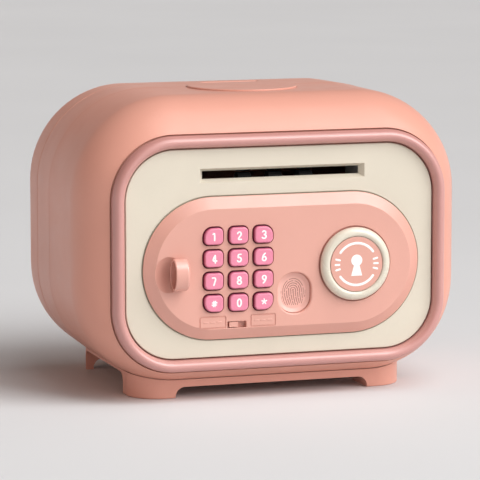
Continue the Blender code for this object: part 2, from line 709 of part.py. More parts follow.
def make_hinge_arm(steel, hinge, at):
    """A J-shaped arm: foot on the door's back, arc round the case's edge, web to the knuckle."""
    inner, outer = HINGE_ARM_RADII
    foot_front, foot_back = DOOR_BACK + GAP - HINGE_DEPTH, DOOR_BACK + GAP + 2.0 - HINGE_DEPTH
    inner_end = 180.0 - math.degrees(math.asin(foot_front / inner))
    outer_end = 180.0 - math.degrees(math.asin(foot_back / outer))
    web_half = 1.1
    web_turn = math.radians(78.0)
    along = Vector((math.cos(web_turn), math.sin(web_turn)))
    aside = Vector((-along.y, along.x)) * web_half
    left = along * inner + aside
    right = along * outer - aside
    knuckle_turn = math.degrees(math.asin(web_half / HINGE_KNUCKLE_RADIUS))
    outline = [(44.0 - HINGE_X, foot_front)]
    outline += arc(0.0, 0.0, inner, inner_end, 90.0, 8)
    outline += [tuple(left)]
    outline += arc(0.0, 0.0, HINGE_KNUCKLE_RADIUS, 78.0 + knuckle_turn, 438.0 - knuckle_turn, 14)
    outline += [tuple(right)]
    outline += arc(0.0, 0.0, outer, 80.0, outer_end, 8)
    outline += [(44.0 - HINGE_X, foot_back)]
    outline = [(HINGE_X + x, HINGE_DEPTH + y) for x, y in outline]
    bottom, top = DOOR_Z - HINGE_ARM_HALF, DOOR_Z + HINGE_ARM_HALF
    pin_hole = arc(HINGE_X, HINGE_DEPTH, HINGE_BORE_RADIUS, 0.0, 330.0, 11)
    cuts = [column(pin_hole, bottom - 1.0, top + 1.0)]
    cuts += [disc(x, DOOR_Z + dz, 1.6, 12.0, 20.0, 12) for x, dz in DOOR_SCREWS if x > 0]
    part("hinge_arm", column(outline, bottom, top), steel, hinge, at, cut=cuts)


def make_hinge_mount(steel):
    pieces = [box(86.3, 87.9, 7.2, 12.0, DOOR_Z - 18.0, DOOR_Z + 18.0)]
    for side in (1.0, -1.0):
        low, high = sorted((side * 8.4, side * 13.4))
        pieces.append(box(80.4, 85.6, 2.5, 8.0, DOOR_Z + low, DOOR_Z + high))
        low, high = sorted((side * 8.4, side * 18.0))
        pieces.append(box(78.5, 85.6, 4.9, 7.0, DOOR_Z + low, DOOR_Z + high))
        low, high = sorted((side * 8.5, side * 17.9))
        pieces.append(box(83.9, 87.0, 6.6, 8.6, DOOR_Z + low, DOOR_Z + high))
    bore = arc(HINGE_X, HINGE_DEPTH, HINGE_BORE_RADIUS, 0.0, 330.0, 11)
    part(
        "hinge_bracket",
        pieces[0],
        steel,
        add=pieces[1:],
        cut=[column(bore, DOOR_Z - 20.0, DOOR_Z + 20.0)],
    )
    pin = arc(HINGE_X, HINGE_DEPTH, HINGE_PIN_RADIUS, 0.0, 330.0, 11)
    part("hinge_pin", column(pin, DOOR_Z - 13.8, DOOR_Z + 13.8), steel)


# ---------------------------------------------------------------- controls


def key_outline(row, col, grow):
    """A key's outline: the corner that faces out of the keypad's own corner is rounder."""
    x = KEY_X + col * KEY_PITCH[0]
    z = KEY_Z - row * KEY_PITCH[1]
    radii = [KEY_RADIUS + grow] * 4
    outer_corner = {(0, 2): 0, (0, 0): 1, (3, 0): 2, (3, 2): 3}.get((row, col))
    if outer_corner is not None:
        radii[outer_corner] = KEY_OUTER_RADIUS + grow
    half_x, half_z = KEY_SIZE[0] / 2 + grow, KEY_SIZE[1] / 2 + grow
    return rounded_rectangle(x - half_x, x + half_x, z - half_z, z + half_z, radii, 2)


def pad_outline(grow):
    half_x, half_z = PAD_SIZE[0] / 2 + grow, PAD_SIZE[1] / 2 + grow
    return rounded_rectangle(
        PAD_X - half_x, PAD_X + half_x, PAD_Z - half_z, PAD_Z + half_z, PAD_RADIUS + grow, 5
    )


def make_controls(magenta, pink, cream, white, steel, hinge):
    flange_front, flange_back = DOOR_PLATE_BACK + GAP, DOOR_PLATE_BACK + GAP + 0.8
    for row, names in enumerate(KEY_NAMES):
        for col, label in enumerate(names):
            at = (KEY_X + col * KEY_PITCH[0], -DOOR_RISE, KEY_Z - row * KEY_PITCH[1])
            loops = [
                across(key_outline(row, col, -0.6), -DOOR_RISE - KEY_RISE),
                across(key_outline(row, col, 0.0), -DOOR_RISE - KEY_RISE + 0.6),
                across(key_outline(row, col, 0.0), flange_front),
                across(key_outline(row, col, 0.65), flange_front),
                across(key_outline(row, col, 0.65), flange_back),
            ]
            part(f"key_{label}", loft(loops), magenta, hinge, at)

    loops = [
        across(pad_outline(-0.35), -DOOR_RISE + PAD_SUNK),
        across(pad_outline(-0.35), flange_front),
        across(pad_outline(0.9), flange_front),
        across(pad_outline(0.9), flange_back),
    ]
    part("fingerprint_pad", loft(loops), pink, hinge, (PAD_X, -DOOR_RISE, PAD_Z))

    stem_x = SWITCH_X - SWITCH_TRAVEL / 2
    stem_width = SWITCH_SLOT[0] - SWITCH_TRAVEL - 2 * GAP
    stem = box(
        *centred(stem_x, stem_width), -DOOR_RISE + 0.3, flange_front + 0.2, *centred(SWITCH_Z, SWITCH_SLOT[1] - 0.6)
    )
    foot = box(*centred(stem_x, 14.0), flange_front, flange_back, SWITCH_Z - 1.9, SWITCH_Z + 2.2)
    part("language_switch", foot, pink, hinge, (stem_x, -DOOR_RISE, SWITCH_Z), add=[stem])

    knob = pivot("knob_axis", KNOB_X, -DOOR_RISE, KNOB_Z, hinge)
    at = (KNOB_X, -DOOR_RISE, KNOB_Z)
    front = -DOOR_RISE - KNOB_RISE
    base = -DOOR_RISE - GAP
    profile = [
        (BADGE_RADIUS + 0.3, front + 1.5),
        (BADGE_RADIUS + 0.3, front + 0.7),
        (BADGE_RADIUS + 1.3, front),
        (KNOB_RADIUS - 1.9, front),
        (KNOB_RADIUS - 0.5, front + 0.9),
        (KNOB_RADIUS, front + 2.2),
        (KNOB_RADIUS, base),
        (4.0, base),
        (4.0, 0.6),
    ]
    part("knob_ring", turned_about_y(KNOB_X, KNOB_Z, profile, 28), cream, knob, at)
    badge = disc(KNOB_X, KNOB_Z, BADGE_RADIUS, front + 0.5, front + 1.2, 28)
    part("knob_badge", badge, pink, knob, at)
    lug = box(KNOB_X - 9.5, KNOB_X - 4.0, -2.0, 0.4, KNOB_Z - 2.0, KNOB_Z + 2.0)
    cam = disc(KNOB_X, KNOB_Z, 6.4, -2.0, 0.4, 20)
    part("knob_cam", cam, white, knob, at, add=[lug], cut=[disc(KNOB_X, KNOB_Z, 4.3, -3.0, 2.0)])

    bolt = box(-67.0, -57.0, BOLT_DEPTH - 1.8, BOLT_DEPTH + 1.8, BOLT_Z - 4.5, BOLT_Z + 4.5)
    plunger = rod(BOLT_DEPTH, BOLT_Z, 1.5, -57.5, -48.6, 12)
    part("latch_bolt", bolt, steel, hinge, (-67.0, BOLT_DEPTH, BOLT_Z), add=[plunger])


def main():
    clear_scene()
    pink = material("case_pink", (0.68, 0.36, 0.29), 0.42)
    mauve = material("bezel_mauve", (0.70, 0.38, 0.36), 0.25)
    cream = material("panel_cream", (0.78, 0.74, 0.62), 0.40)
    magenta = material("key_magenta", (0.80, 0.22, 0.42), 0.35)
    white = material("inner_plastic", (0.72, 0.72, 0.70), 0.50)
    steel = material("steel", (0.62, 0.62, 0.63), 0.30, 1.0)
    brass = material("brass", (0.70, 0.55, 0.28), 0.35, 1.0)
    rubber = material("rubber", (0.05, 0.05, 0.05), 0.80)
    board = material("board_green", (0.05, 0.25, 0.12), 0.45)
    wrap = material("battery_wrap", (0.10, 0.12, 0.14), 0.35)
    hinge = pivot("door_axis", HINGE_X, HINGE_DEPTH, DOOR_Z)
    make_case(pink, mauve, cream, steel)
    make_base(pink)
    make_coin_plate(pink)
    make_power(white, steel, wrap, pink)
    make_feeder(white, steel, rubber, brass)
    make_hinge_mount(steel)
    make_door(pink, white, steel, board, rubber, hinge)
    make_controls(magenta, pink, cream, white, steel, hinge)


main()
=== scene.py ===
"""Toy safe coin bank: detailed pieces, materials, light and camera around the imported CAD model.

Lengths in this file are millimetres, and the mesh helpers turn them into metres.
An outline is a list of (x, z) points. Depths are counted from the front of the cream panel,
negative in front of it and positive behind it. Places come from the CAD nodes' own boxes.
"""

import json
import math

import bmesh
import bpy
from mathutils import Matrix, Vector


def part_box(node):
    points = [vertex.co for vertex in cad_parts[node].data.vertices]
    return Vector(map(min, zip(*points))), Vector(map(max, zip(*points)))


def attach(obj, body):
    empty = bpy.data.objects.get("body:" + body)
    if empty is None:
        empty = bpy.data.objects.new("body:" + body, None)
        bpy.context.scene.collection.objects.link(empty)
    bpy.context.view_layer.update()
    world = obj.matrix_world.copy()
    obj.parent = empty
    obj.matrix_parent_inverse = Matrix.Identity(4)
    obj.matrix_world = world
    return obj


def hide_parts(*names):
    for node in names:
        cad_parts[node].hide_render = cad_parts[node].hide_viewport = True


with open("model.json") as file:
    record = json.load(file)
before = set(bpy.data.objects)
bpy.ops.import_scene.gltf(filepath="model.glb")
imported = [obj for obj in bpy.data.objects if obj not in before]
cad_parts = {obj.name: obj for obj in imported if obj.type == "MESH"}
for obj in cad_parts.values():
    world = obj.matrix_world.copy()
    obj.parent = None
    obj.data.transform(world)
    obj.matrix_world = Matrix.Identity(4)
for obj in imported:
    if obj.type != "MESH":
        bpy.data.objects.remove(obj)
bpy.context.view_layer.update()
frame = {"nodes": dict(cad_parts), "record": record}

MM = 0.001
FINE = 14  # facets in each quarter turn of a large corner
GAP = 0.3

FACE_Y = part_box("front_panel")[0].y / MM  # the cream panel's front

# Case
PANEL_HALF = 80.1
PANEL_BOTTOM = 22.1
PANEL_TOP = 125.8
PANEL_RADIUS = 25.1
PANEL_THICKNESS = 3.5
BEZEL_WIDTH = 7.0
BEZEL_RISE = 4.0
BEZEL_BACK = 1.9
CASE_HALF = 100.0
CASE_BOTTOM = 7.2
CASE_TOP = 150.2
CASE_RADIUS = 50.0
WALL = 2.2
CASE_FRONT = 2.2
ROUNDOVER_END = 30.0
ROUNDOVER_TURN = 60.0
CREASE = 70.0
CREASE_STEP = 0.12
CREASE_TAPER = 0.025
SEAM = 96.0
SEAM_CHAMFER = ((0.5, 0.0), (0.15, 0.12), (0.0, 0.45))  # distance from the seam and inset there
BACK_ROUND_START = 109.4
CASE_BACK = 125.7
BACK_ROUND_INSET = 13.0
FLANGE_INSET = 10.1
REAR_SCREWS = ((-72.0, 118.0), (72.0, 118.0), (-72.0, 39.0), (72.0, 39.0))
HATCH_HALF = 29.0
HATCH_HEIGHTS = (30.0, 81.4)

# Base and top plate
BASE_HALF = 72.0
BASE_FRONT = 13.0
BASE_BACK = 118.0
BASE_RADIUS = 16.0
FRONT_ARCH = (-50.8, 50.8, 5.6)  # from, to and height
REAR_ARCH = (-67.5, 67.5, 5.6)
SIDE_ARCH = (34.0, 105.0, 10.6)
TOP_PLATE_RADIUS = 28.0
TOP_PLATE_DEPTH = 62.0
TOP_PLATE_RISE = 0.8
COIN_SLIT = (30.0, 3.4)
COIN_SLIT_DEPTH = 82.0

# Front
SLOT_X = 0.9
SLOT_Z = 112.5
SLOT_OUTER = (86.0, 7.0)
SLOT_INNER = (81.6, 3.9)
DOOR_X = 0.4
DOOR_Z = 66.6
DOOR_HALF = 36.5
DOOR_RADIUS = 35.45
DOOR_CHAMFER = 5.6
DOOR_RISE = 4.75
DOOR_PLATE_BACK = -2.35
DOOR_OPENING_RADIUS = 32.8
PLUG_RADIUS = 31.4
PLUG_RIGHT = 64.6
PLUG_WALL = 1.5
PLUG_SPLIT = 1.0
DOOR_BACK = 14.0
DOOR_SCREWS = ((-50.0, 18.0), (-50.0, -18.0), (52.0, 5.0), (52.0, -5.0))
KEY_HALF = (4.95, 4.25)
KEY_RADIUS = 2.5
KEY_OUTER_RADIUS = 4.5
KEY_RISE = 2.0
KEY_CLEARANCE = 0.5
KEY_NAMES = (("1", "2", "3"), ("4", "5", "6"), ("7", "8", "9"), ("hash", "0", "star"))
PAD_HALF = (8.6, 10.15)
PAD_RADIUS = 8.2
PAD_SUNK = 1.8
PAD_DISH = 1.1
RIDGE_OVAL = (6.4, 7.9)
KNOB_RADIUS = 18.3
KNOB_RISE = 3.7
BADGE_RADIUS = 13.7
BADGE_SUNK = 0.6
SWITCH_X = -24.5
SWITCH_Z = 38.7
SWITCH_SLOT = (9.8, 3.3)
SWITCH_TRAVEL = 3.9
LABELS = ((-43.9, -30.2), (-17.5, -4.4))  # from and to, on either side of the switch
LABEL_HEIGHTS = (37.3, 43.3)
PULL_X = (-58.2, -50.8)
PULL_Z = 65.2
PULL_HALF = 8.0
PULL_DEPTHS = (-13.7, -1.6)
BOLT_DEPTH = 6.0


# -------- outlines


def arc(cx, cy, radius, start, end, steps):
    """Points from start to end degrees about a centre."""
    turns = [math.radians(start + (end - start) * i / steps) for i in range(steps + 1)]
    return [(cx + radius * math.cos(t), cy + radius * math.sin(t)) for t in turns]


def circle(cx, cy, radius, steps):
    return arc(cx, cy, radius, 0.0, 360.0 - 360.0 / steps, steps - 1)


def rounded_rectangle(x0, x1, y0, y1, radii, steps=FINE, runs=1):
    """Outline with its own radius at the corners (right, top), (left, top), (left, bottom), (right, bottom).

    Each straight side is divided into this many runs.
    """
    if not isinstance(radii, (tuple, list)):
        radii = (radii,) * 4
    quarters = []
    corners = ((x1, y1, -1, -1), (x0, y1, 1, -1), (x0, y0, 1, 1), (x1, y0, -1, 1))
    for quarter, ((x, y, sx, sy), radius) in enumerate(zip(corners, radii)):
        start = 90.0 * quarter
        quarters.append(arc(x + sx * radius, y + sy * radius, radius, start, start + 90.0, steps))
    points = []
    for this, following in zip(quarters, quarters[1:] + quarters[:1]):
        points += this
        (ax, ay), (bx, by) = this[-1], following[0]
        points += [(ax + (bx - ax) * i / runs, ay + (by - ay) * i / runs) for i in range(1, runs)]
    return points


def centred_rectangle(x, z, half_x, half_z, radii, steps):
    return rounded_rectangle(x - half_x, x + half_x, z - half_z, z + half_z, radii, steps)


def stadium(x, z, half, radius):
    """Two half circles joined by straight sides."""
    right = arc(x + half, z, radius, -90.0, 90.0, 40)
    left = arc(x - half, z, radius, 90.0, 270.0, 40)
    return right + left


def door_outline(inset):
    return stadium(DOOR_X, DOOR_Z, DOOR_HALF, DOOR_RADIUS - inset)


def plug_outline(inset):
    """The part of the door that goes into the panel's opening, shorter at the hinge."""
    left = DOOR_X - DOOR_HALF
    right = PLUG_RIGHT - PLUG_RADIUS
    return stadium((left + right) / 2, DOOR_Z, (right - left) / 2, PLUG_RADIUS - inset)


def panel_outline(inset):
    half, low, high = PANEL_HALF - inset, PANEL_BOTTOM + inset, PANEL_TOP - inset
    return rounded_rectangle(-half, half, low, high, PANEL_RADIUS - inset, 20)


def case_outline(rise, inset, runs=10):
    """Case section: rise is 0 at the bezel's outer edge and 1 at the widest section."""

    def between(low, high):
        return low + (high - low) * rise

    half = between(PANEL_HALF + BEZEL_WIDTH, CASE_HALF) - inset
    bottom = between(PANEL_BOTTOM - BEZEL_WIDTH, CASE_BOTTOM) + inset
    top = between(PANEL_TOP + BEZEL_WIDTH, CASE_TOP) - inset
    radius = between(PANEL_RADIUS + BEZEL_WIDTH, CASE_RADIUS) - inset
    return rounded_rectangle(-half, half, bottom, top, radius, 20, runs)


def softened(points, steps=4):
    """A profile of (a, b, radius) corners turned into (a, b) points, with each inner corner rounded off."""
    out = [Vector(points[0][:2])]
    for before, here, after in zip(points, points[1:], points[2:]):
        corner = Vector(here[:2])
        back, ahead = Vector(before[:2]) - corner, Vector(after[:2]) - corner
        half_angle = max(back.angle(ahead) / 2, 0.05)
        cut = min(here[2] / math.tan(half_angle), 0.48 * back.length, 0.48 * ahead.length)
        if cut < 1e-4:
            out.append(corner)
            continue
        start, end = corner + back.normalized() * cut, corner + ahead.normalized() * cut
        for i in range(steps + 1):
            t = i / steps
            out.append(start * (1 - t) ** 2 + corner * (2 * t * (1 - t)) + end * t**2)
    out.append(Vector(points[-1][:2]))
    return [tuple(p) for p in out]


# -------- solids


def across(points, depth):
    """An (x, z) outline as a loop at this depth behind the panel's front."""
    return [(x, FACE_Y + depth, z) for x, z in points]


def level(points, z):
    """An (x, depth) outline as a loop at this height."""
    return [(x, FACE_Y + y, z) for x, y in points]


def upright(points, x):
    """A (depth, z) outline as a loop at this x."""
    return [(x, FACE_Y + y, z) for y, z in points]


def loft(loops, closed=False):
    """Bands between loops of equal length, capped at both ends or closed into a ring."""
    size = len(loops[0])
    vertices = [point for loop in loops for point in loop]
    faces = []
    pairs = list(zip(range(len(loops) - 1), range(1, len(loops))))
    if closed:
        pairs.append((len(loops) - 1, 0))
    for first, second in pairs:
        for i in range(size):
            j = (i + 1) % size
            a, b = first * size, second * size
            faces.append((a + i, a + j, b + j, b + i))
    if not closed:
        faces.append(tuple(range(size)))
        faces.append(tuple(range((len(loops) - 1) * size, len(loops) * size)))
    return vertices, faces


def plate(outline, front, back):
    return loft([across(outline, front), across(outline, back)])


def box(x0, x1, y0, y1, z0, z1):
    return plate([(x0, z0), (x1, z0), (x1, z1), (x0, z1)], y0, y1)


def soft_plate(outline_of, front, back, radius):
    """A plate whose outline comes from outline_of(inset), with all its edges rounded."""
    reach = 3.0 * radius
    profile = softened([(reach, front, 0), (0, front, radius), (0, back, radius), (reach, back, 0)], 3)
    return loft([across(outline_of(inset), depth) for inset, depth in profile])


def rectangle_of(x0, x1, z0, z1, radius, steps=4):
    """outline_of for a rounded rectangle."""

    def outline(inset):
        corner = max(radius - inset, 0.05)
        return rounded_rectangle(x0 + inset, x1 - inset, z0 + inset, z1 - inset, corner, steps)

    return outline


def turned_about_y(x, z, profile, steps=48):
    """A solid of revolution about Y from (radius, depth) points, both ends capped."""
    return loft([across(circle(x, z, radius, steps), depth) for radius, depth in profile])


def turned_about_x(depth, z, profile, steps=48):
    """A solid of revolution about X from (radius, x) points, both ends capped."""
    return loft([upright(circle(depth, z, radius, steps), x) for radius, x in profile])


def turned_about_z(x, depth, profile, steps=96):
    """A solid of revolution about Z from (radius, z) points, both ends capped."""
    return loft([level(circle(x, depth, radius, steps), z) for radius, z in profile])


def flared(outline_of, bottom, surface, flare, steps=5):
    """A cutter whose rim widens into the surface it opens through, facing the front."""
    loops = [across(outline_of(0.0), bottom)]
    for i in range(steps + 1):
        turn = math.radians(78.0 * i / steps)
        grow, sink = flare * (1 - math.cos(turn)), flare * (1 - math.sin(turn))
        loops.append(across(outline_of(-grow), surface + sink))
    loops.append(across(outline_of(-flare * 0.85), surface - 6.0))
    return loft(loops)


def smooth_path(points):
    """Cuts the corners of an open path twice, keeping its ends."""
    for _ in range(2):
        out = [points[0]]
        for (ax, az), (bx, bz) in zip(points, points[1:]):
            out.append((0.75 * ax + 0.25 * bx, 0.75 * az + 0.25 * bz))
            out.append((0.25 * ax + 0.75 * bx, 0.25 * az + 0.75 * bz))
        out.append(points[-1])
        points = out
    return points


def bead(path, half_width, rise, depth, closed=False, sides=6):
    """A raised line on a surface that faces the front: a half-round section along an (x, z) path."""
    points = [Vector(p) for p in path]
    stations = []
    for i, here in enumerate(points):
        if closed:
            before, after = points[i - 1], points[(i + 1) % len(points)]
        else:
            before, after = points[max(i - 1, 0)], points[min(i + 1, len(points) - 1)]
        stations.append((here, (after - before).normalized(), 1.0))
    if not closed:
        caps = [math.radians(a) for a in (30.0, 60.0, 84.0)]
        first, last = stations[0], stations[-1]
        head = [(first[0] - first[1] * half_width * math.sin(a), first[1], math.cos(a)) for a in caps]
        tail = [(last[0] + last[1] * half_width * math.sin(a), last[1], math.cos(a)) for a in caps]
        stations = head[::-1] + stations + tail
    loops = []
    for place, along, share in stations:
        aside = Vector((-along.y, along.x)) * half_width * share
        loop = []
        for k in range(sides + 1):
            turn = math.pi * k / sides
            spot = place + aside * math.cos(turn)
            loop.append((spot.x, FACE_Y + depth - rise * share * math.sin(turn), spot.y))
        loops.append(loop)
    return loft(loops, closed)


def joined(shapes):
    """Several closed shapes as one."""
    vertices, faces = [], []
    for more_vertices, more_faces in shapes:
        offset = len(vertices)
        vertices += more_vertices
        faces += [tuple(i + offset for i in face) for face in more_faces]
    return vertices, faces


# -------- objects


def placed(name, data):
    """A new object in the scene."""
    made = bpy.data.objects.new(name, data)
    bpy.context.scene.collection.objects.link(made)
    return made


def solid(name, shape):
    vertices, faces = shape
    mesh = bpy.data.meshes.new(name)
    mesh.from_pydata([Vector(v) * MM for v in vertices], [], faces)
    work = bmesh.new()
    work.from_mesh(mesh)
    bmesh.ops.recalc_face_normals(work, faces=work.faces)
    work.to_mesh(mesh)
    work.free()
    return placed(name, mesh)


def combine(target, shapes, operation):
    for number, shape in enumerate(shapes):
        tool = solid(f"tool_{number}", shape)
        modifier = target.modifiers.new("combine", "BOOLEAN")
        modifier.operation = operation
        modifier.solver = "EXACT"
        modifier.object = tool
        graph = bpy.context.evaluated_depsgraph_get()
        result = bpy.data.meshes.new_from_object(target.evaluated_get(graph))
        target.modifiers.remove(modifier)
        target.data = result
        bpy.data.objects.remove(tool)


def shaded(made, sharp_degrees=30.0):
    """Smooth shading, broken only at real edges, with flat faces kept flat."""
    work = bmesh.new()
    work.from_mesh(made.data)
    bmesh.ops.remove_doubles(work, verts=work.verts, dist=2e-6)
    bmesh.ops.dissolve_degenerate(work, dist=1e-6, edges=work.edges)
    for face in work.faces:
        face.smooth = True
    limit = math.radians(sharp_degrees)
    for edge in work.edges:
        edge.smooth = len(edge.link_faces) == 2 and edge.calc_face_angle() < limit
    work.to_mesh(made.data)
    work.free()
    weighted = made.modifiers.new("weighted", "WEIGHTED_NORMAL")
    weighted.keep_sharp = True


def piece(name, shape, finish, body, replaces=(), add=(), cut=(), sharp=30.0):
    """A finished piece that rides on a body and stands for these CAD nodes.

    The add and cut shapes are joined to it and cut from it, in that order.
    """
    made = solid(name, shape)
    combine(made, add, "UNION")
    combine(made, cut, "DIFFERENCE")
    shaded(made, sharp)
    made.data.materials.clear()
    made.data.materials.append(finish)
    for face in made.data.polygons:
        face.material_index = 0
    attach(made, body)
    if replaces:
        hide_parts(*replaces)
    return made


def node_centre(name):
    """The middle of a CAD node's box, as (x, z)."""
    low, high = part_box(name)
    return (low.x + high.x) / 2 / MM, (low.z + high.z) / 2 / MM


# -------- materials


def linear(colour):
    """An sRGB colour in 0..255 as linear values."""
    out = []
    for value in colour:
        share = value / 255.0
        out.append(share / 12.92 if share <= 0.04045 else ((share + 0.055) / 1.055) ** 2.4)
    return (*out, 1.0)


def toned(colour, factor):
    """A linear colour made paler or deeper."""
    return tuple(min(1.0, c * factor) for c in colour[:3]) + (1.0,)


class Tree:
    """Short names for building a material's nodes."""

    def __init__(self, name):
        self.material = bpy.data.materials.new(name)
        self.material.use_nodes = True
        self.nodes = self.material.node_tree.nodes
        self.links = self.material.node_tree.links
        self.shader = self.nodes["Principled BSDF"]
        self.place = self.nodes.new("ShaderNodeTexCoord").outputs["Object"]

    def link(self, source, target):
        self.links.new(source, target)

    def feed(self, name, source):
        """Links a source to one of the shader's own inputs."""
        self.link(source, self.shader.inputs[name])

    def made(self, kind, values):
        """A new node with these values on its inputs."""
        node = self.nodes.new(kind)
        for name, value in values.items():
            node.inputs[name].default_value = value
        return node

    def noise(self, scale, detail=2.0, roughness=0.5, distortion=0.0):
        values = {"Scale": scale, "Detail": detail, "Roughness": roughness, "Distortion": distortion}
        node = self.made("ShaderNodeTexNoise", values)
        self.link(self.place, node.inputs["Vector"])
        return node.outputs["Fac"]

    def ranged(self, source, low, high, from_low=0.3, from_high=0.7):
        values = {"From Min": from_low, "From Max": from_high, "To Min": low, "To Max": high}
        node = self.made("ShaderNodeMapRange", values)
        self.link(source, node.inputs["Value"])
        return node.outputs["Result"]

    def mixed(self, factor, first, second):
        node = self.nodes.new("ShaderNodeMix")
        node.data_type = "RGBA"
        for value, socket in ((factor, 0), (first, 6), (second, 7)):
            if isinstance(value, tuple):
                node.inputs[socket].default_value = value
            else:
                self.link(value, node.inputs[socket])
        return node.outputs[2]

    def axis(self, name):
        node = self.nodes.new("ShaderNodeSeparateXYZ")
        self.link(self.place, node.inputs[0])
        return node.outputs[name]

    def bump(self, source, strength, distance):
        node = self.made("ShaderNodeBump", {"Strength": strength, "Distance": distance})
        self.link(source, node.inputs["Height"])
        self.feed("Normal", node.outputs["Normal"])


def plastic(name, colour, roughness, grain=0.12, spread=0.05, coat=0.0, specular=0.5):
    """Moulded plastic: a fine texture, slow drifts of tone and a slightly uneven gloss."""
    tree = Tree(name)
    base = linear(colour)
    paler, deeper = toned(base, 1.035), toned(base, 0.955)
    drift = tree.ranged(tree.noise(14.0, 3.0, 0.6, 0.4), 0.0, 1.0)
    fleck = tree.ranged(tree.noise(900.0, 2.0), 0.0, 0.22)
    tone = tree.mixed(drift, deeper, paler)
    tree.feed("Base Color", tree.mixed(fleck, tone, deeper))
    smear = tree.noise(55.0, 4.0, 0.62, 0.3)
    tree.feed("Roughness", tree.ranged(smear, roughness - spread, roughness + spread))
    tree.shader.inputs["Specular IOR Level"].default_value = specular
    if coat:
        tree.shader.inputs["Coat Weight"].default_value = coat
        tree.shader.inputs["Coat Roughness"].default_value = 0.12
    tree.bump(tree.noise(1500.0, 3.0, 0.65), grain, 0.00004)
    return tree.material


def key_plastic(name):
    """Pink keys, pale at the face, with painted shade making them a deeper magenta down the sides."""
    tree = Tree(name)
    front = FACE_Y - DOOR_RISE - KEY_RISE
    # painted shade: this mask grows from the key's face backwards along Y, and the dark magenta it mixes in
    # stands for the shadow on the keys' sides
    depth = tree.ranged(tree.axis("Y"), 0.0, 1.0, (front + 0.15) * MM, (front + 1.5) * MM)
    face, painted_side_shade = linear((229, 138, 164)), linear((132, 30, 70))
    tone = tree.mixed(tree.ranged(tree.noise(60.0, 3.0), 0.0, 0.25), face, linear((222, 126, 154)))
    tree.feed("Base Color", tree.mixed(depth, tone, painted_side_shade))
    tree.feed("Roughness", tree.ranged(tree.noise(120.0, 3.0), 0.30, 0.40))
    tree.bump(tree.noise(1800.0, 2.0), 0.08, 0.00003)
    return tree.material


def metal(name, colour, roughness, stretch=(1.0, 1.0, 1.0)):
    """Plated or machined metal with fine marks along one direction."""
    tree = Tree(name)
    mapping = tree.made("ShaderNodeMapping", {"Scale": stretch})
    tree.link(tree.place, mapping.inputs["Vector"])
    tree.place = mapping.outputs["Vector"]
    base = linear(colour)
    tree.feed("Base Color", tree.mixed(tree.noise(240.0, 4.0, 0.6), toned(base, 0.8), base))
    tree.shader.inputs["Metallic"].default_value = 1.0
    marks = tree.noise(900.0, 3.0, 0.6)
    tree.feed("Roughness", tree.ranged(marks, roughness - 0.07, roughness + 0.1))
    tree.bump(marks, 0.15, 0.00003)
    return tree.material


def rubber_finish(name, colour):
    """Matt rubber with a dusting of paler specks."""
    tree = Tree(name)
    base = linear(colour)
    paler = tuple(min(1.0, c * 1.5 + 0.01) for c in base[:3]) + (1.0,)
    tree.feed("Base Color", tree.mixed(tree.noise(420.0, 4.0, 0.7), base, paler))
    tree.feed("Roughness", tree.ranged(tree.noise(200.0, 3.0), 0.55, 0.75))
    tree.bump(tree.noise(1300.0, 4.0, 0.7), 0.3, 0.00006)
    return tree.material


def board_finish(name):
    """A solder-masked board with a lattice of paler tracks."""
    tree = Tree(name)
    bricks = tree.made("ShaderNodeTexBrick", {"Scale": 160.0, "Mortar Size": 0.03})
    bricks.inputs["Color1"].default_value = linear((26, 92, 52))
    bricks.inputs["Color2"].default_value = linear((22, 82, 48))
    bricks.inputs["Mortar"].default_value = linear((64, 138, 84))
    turned = tree.made("ShaderNodeMapping", {"Rotation": (math.radians(90.0), 0.0, 0.0)})
    tree.link(tree.place, turned.inputs["Vector"])
    tree.link(turned.outputs["Vector"], bricks.inputs["Vector"])
    tree.feed("Base Color", bricks.outputs["Color"])
    tree.feed("Roughness", tree.ranged(tree.noise(300.0), 0.35, 0.45))
    tree.bump(bricks.outputs["Fac"], 0.2, 0.00005)
    return tree.material


def battery_finish(name):
    """A plain dry cell: a dark sleeve with a copper-coloured band at one end."""
    tree = Tree(name)
    band = tree.ranged(tree.axis("X"), 0.0, 1.0, 13.0 * MM, 13.4 * MM)
    dark, copper = linear((34, 38, 46)), linear((176, 110, 62))
    tree.feed("Base Color", tree.mixed(band, dark, copper))
    tree.feed("Roughness", tree.ranged(tree.noise(180.0), 0.25, 0.35))
    tree.bump(tree.noise(700.0), 0.05, 0.00003)
    return tree.material


pink = plastic("case_pink", (222, 160, 142), 0.34, specular=0.35)
door_pink = plastic("door_pink", (219, 162, 147), 0.35, specular=0.75)
pull_pink = plastic("pull_pink", (220, 163, 149), 0.26, grain=0.05, spread=0.03, coat=0.4)
pad_pink = plastic("pad_pink", (230, 178, 166), 0.40)
ridge_pink = plastic("ridge_pink", (150, 98, 88), 0.42, grain=0.05)
mauve = plastic("bezel_mauve", (200, 143, 136), 0.34, grain=0.05, spread=0.03, specular=1.0)
cream = plastic("panel_cream", (215, 207, 190), 0.42, specular=0.6)
knob_cream = plastic("knob_cream", (218, 211, 194), 0.28, grain=0.06, specular=0.8)
magenta = key_plastic("key_magenta")
print_white = plastic("print_white", (250, 248, 246), 0.45, grain=0.05)
white = plastic("inner_white", (214, 212, 206), 0.46)
steel = metal("plated_steel", (176, 176, 180), 0.30, (1.0, 1.0, 6.0))
brass = metal("machined_brass", (204, 166, 96), 0.28, (6.0, 1.0, 1.0))
rubber = rubber_finish("black_rubber", (26, 26, 27))
membrane = rubber_finish("membrane_rubber", (150, 150, 152))
board = board_finish("circuit_board")
cell = battery_finish("battery_sleeve")
CAD_FINISH = {  # by the record's material slots
    "case_pink": pink,
    "bezel_mauve": mauve,
    "panel_cream": cream,
    "key_magenta": magenta,
    "inner_plastic": white,
    "steel": steel,
    "brass": brass,
    "rubber": rubber,
    "board_green": board,
    "battery_wrap": cell,
}


# -------- case


def crease_inset(depth):
    """How far the case's sides have drawn in behind the crease."""
    return max(0.0, depth - CREASE) * CREASE_TAPER


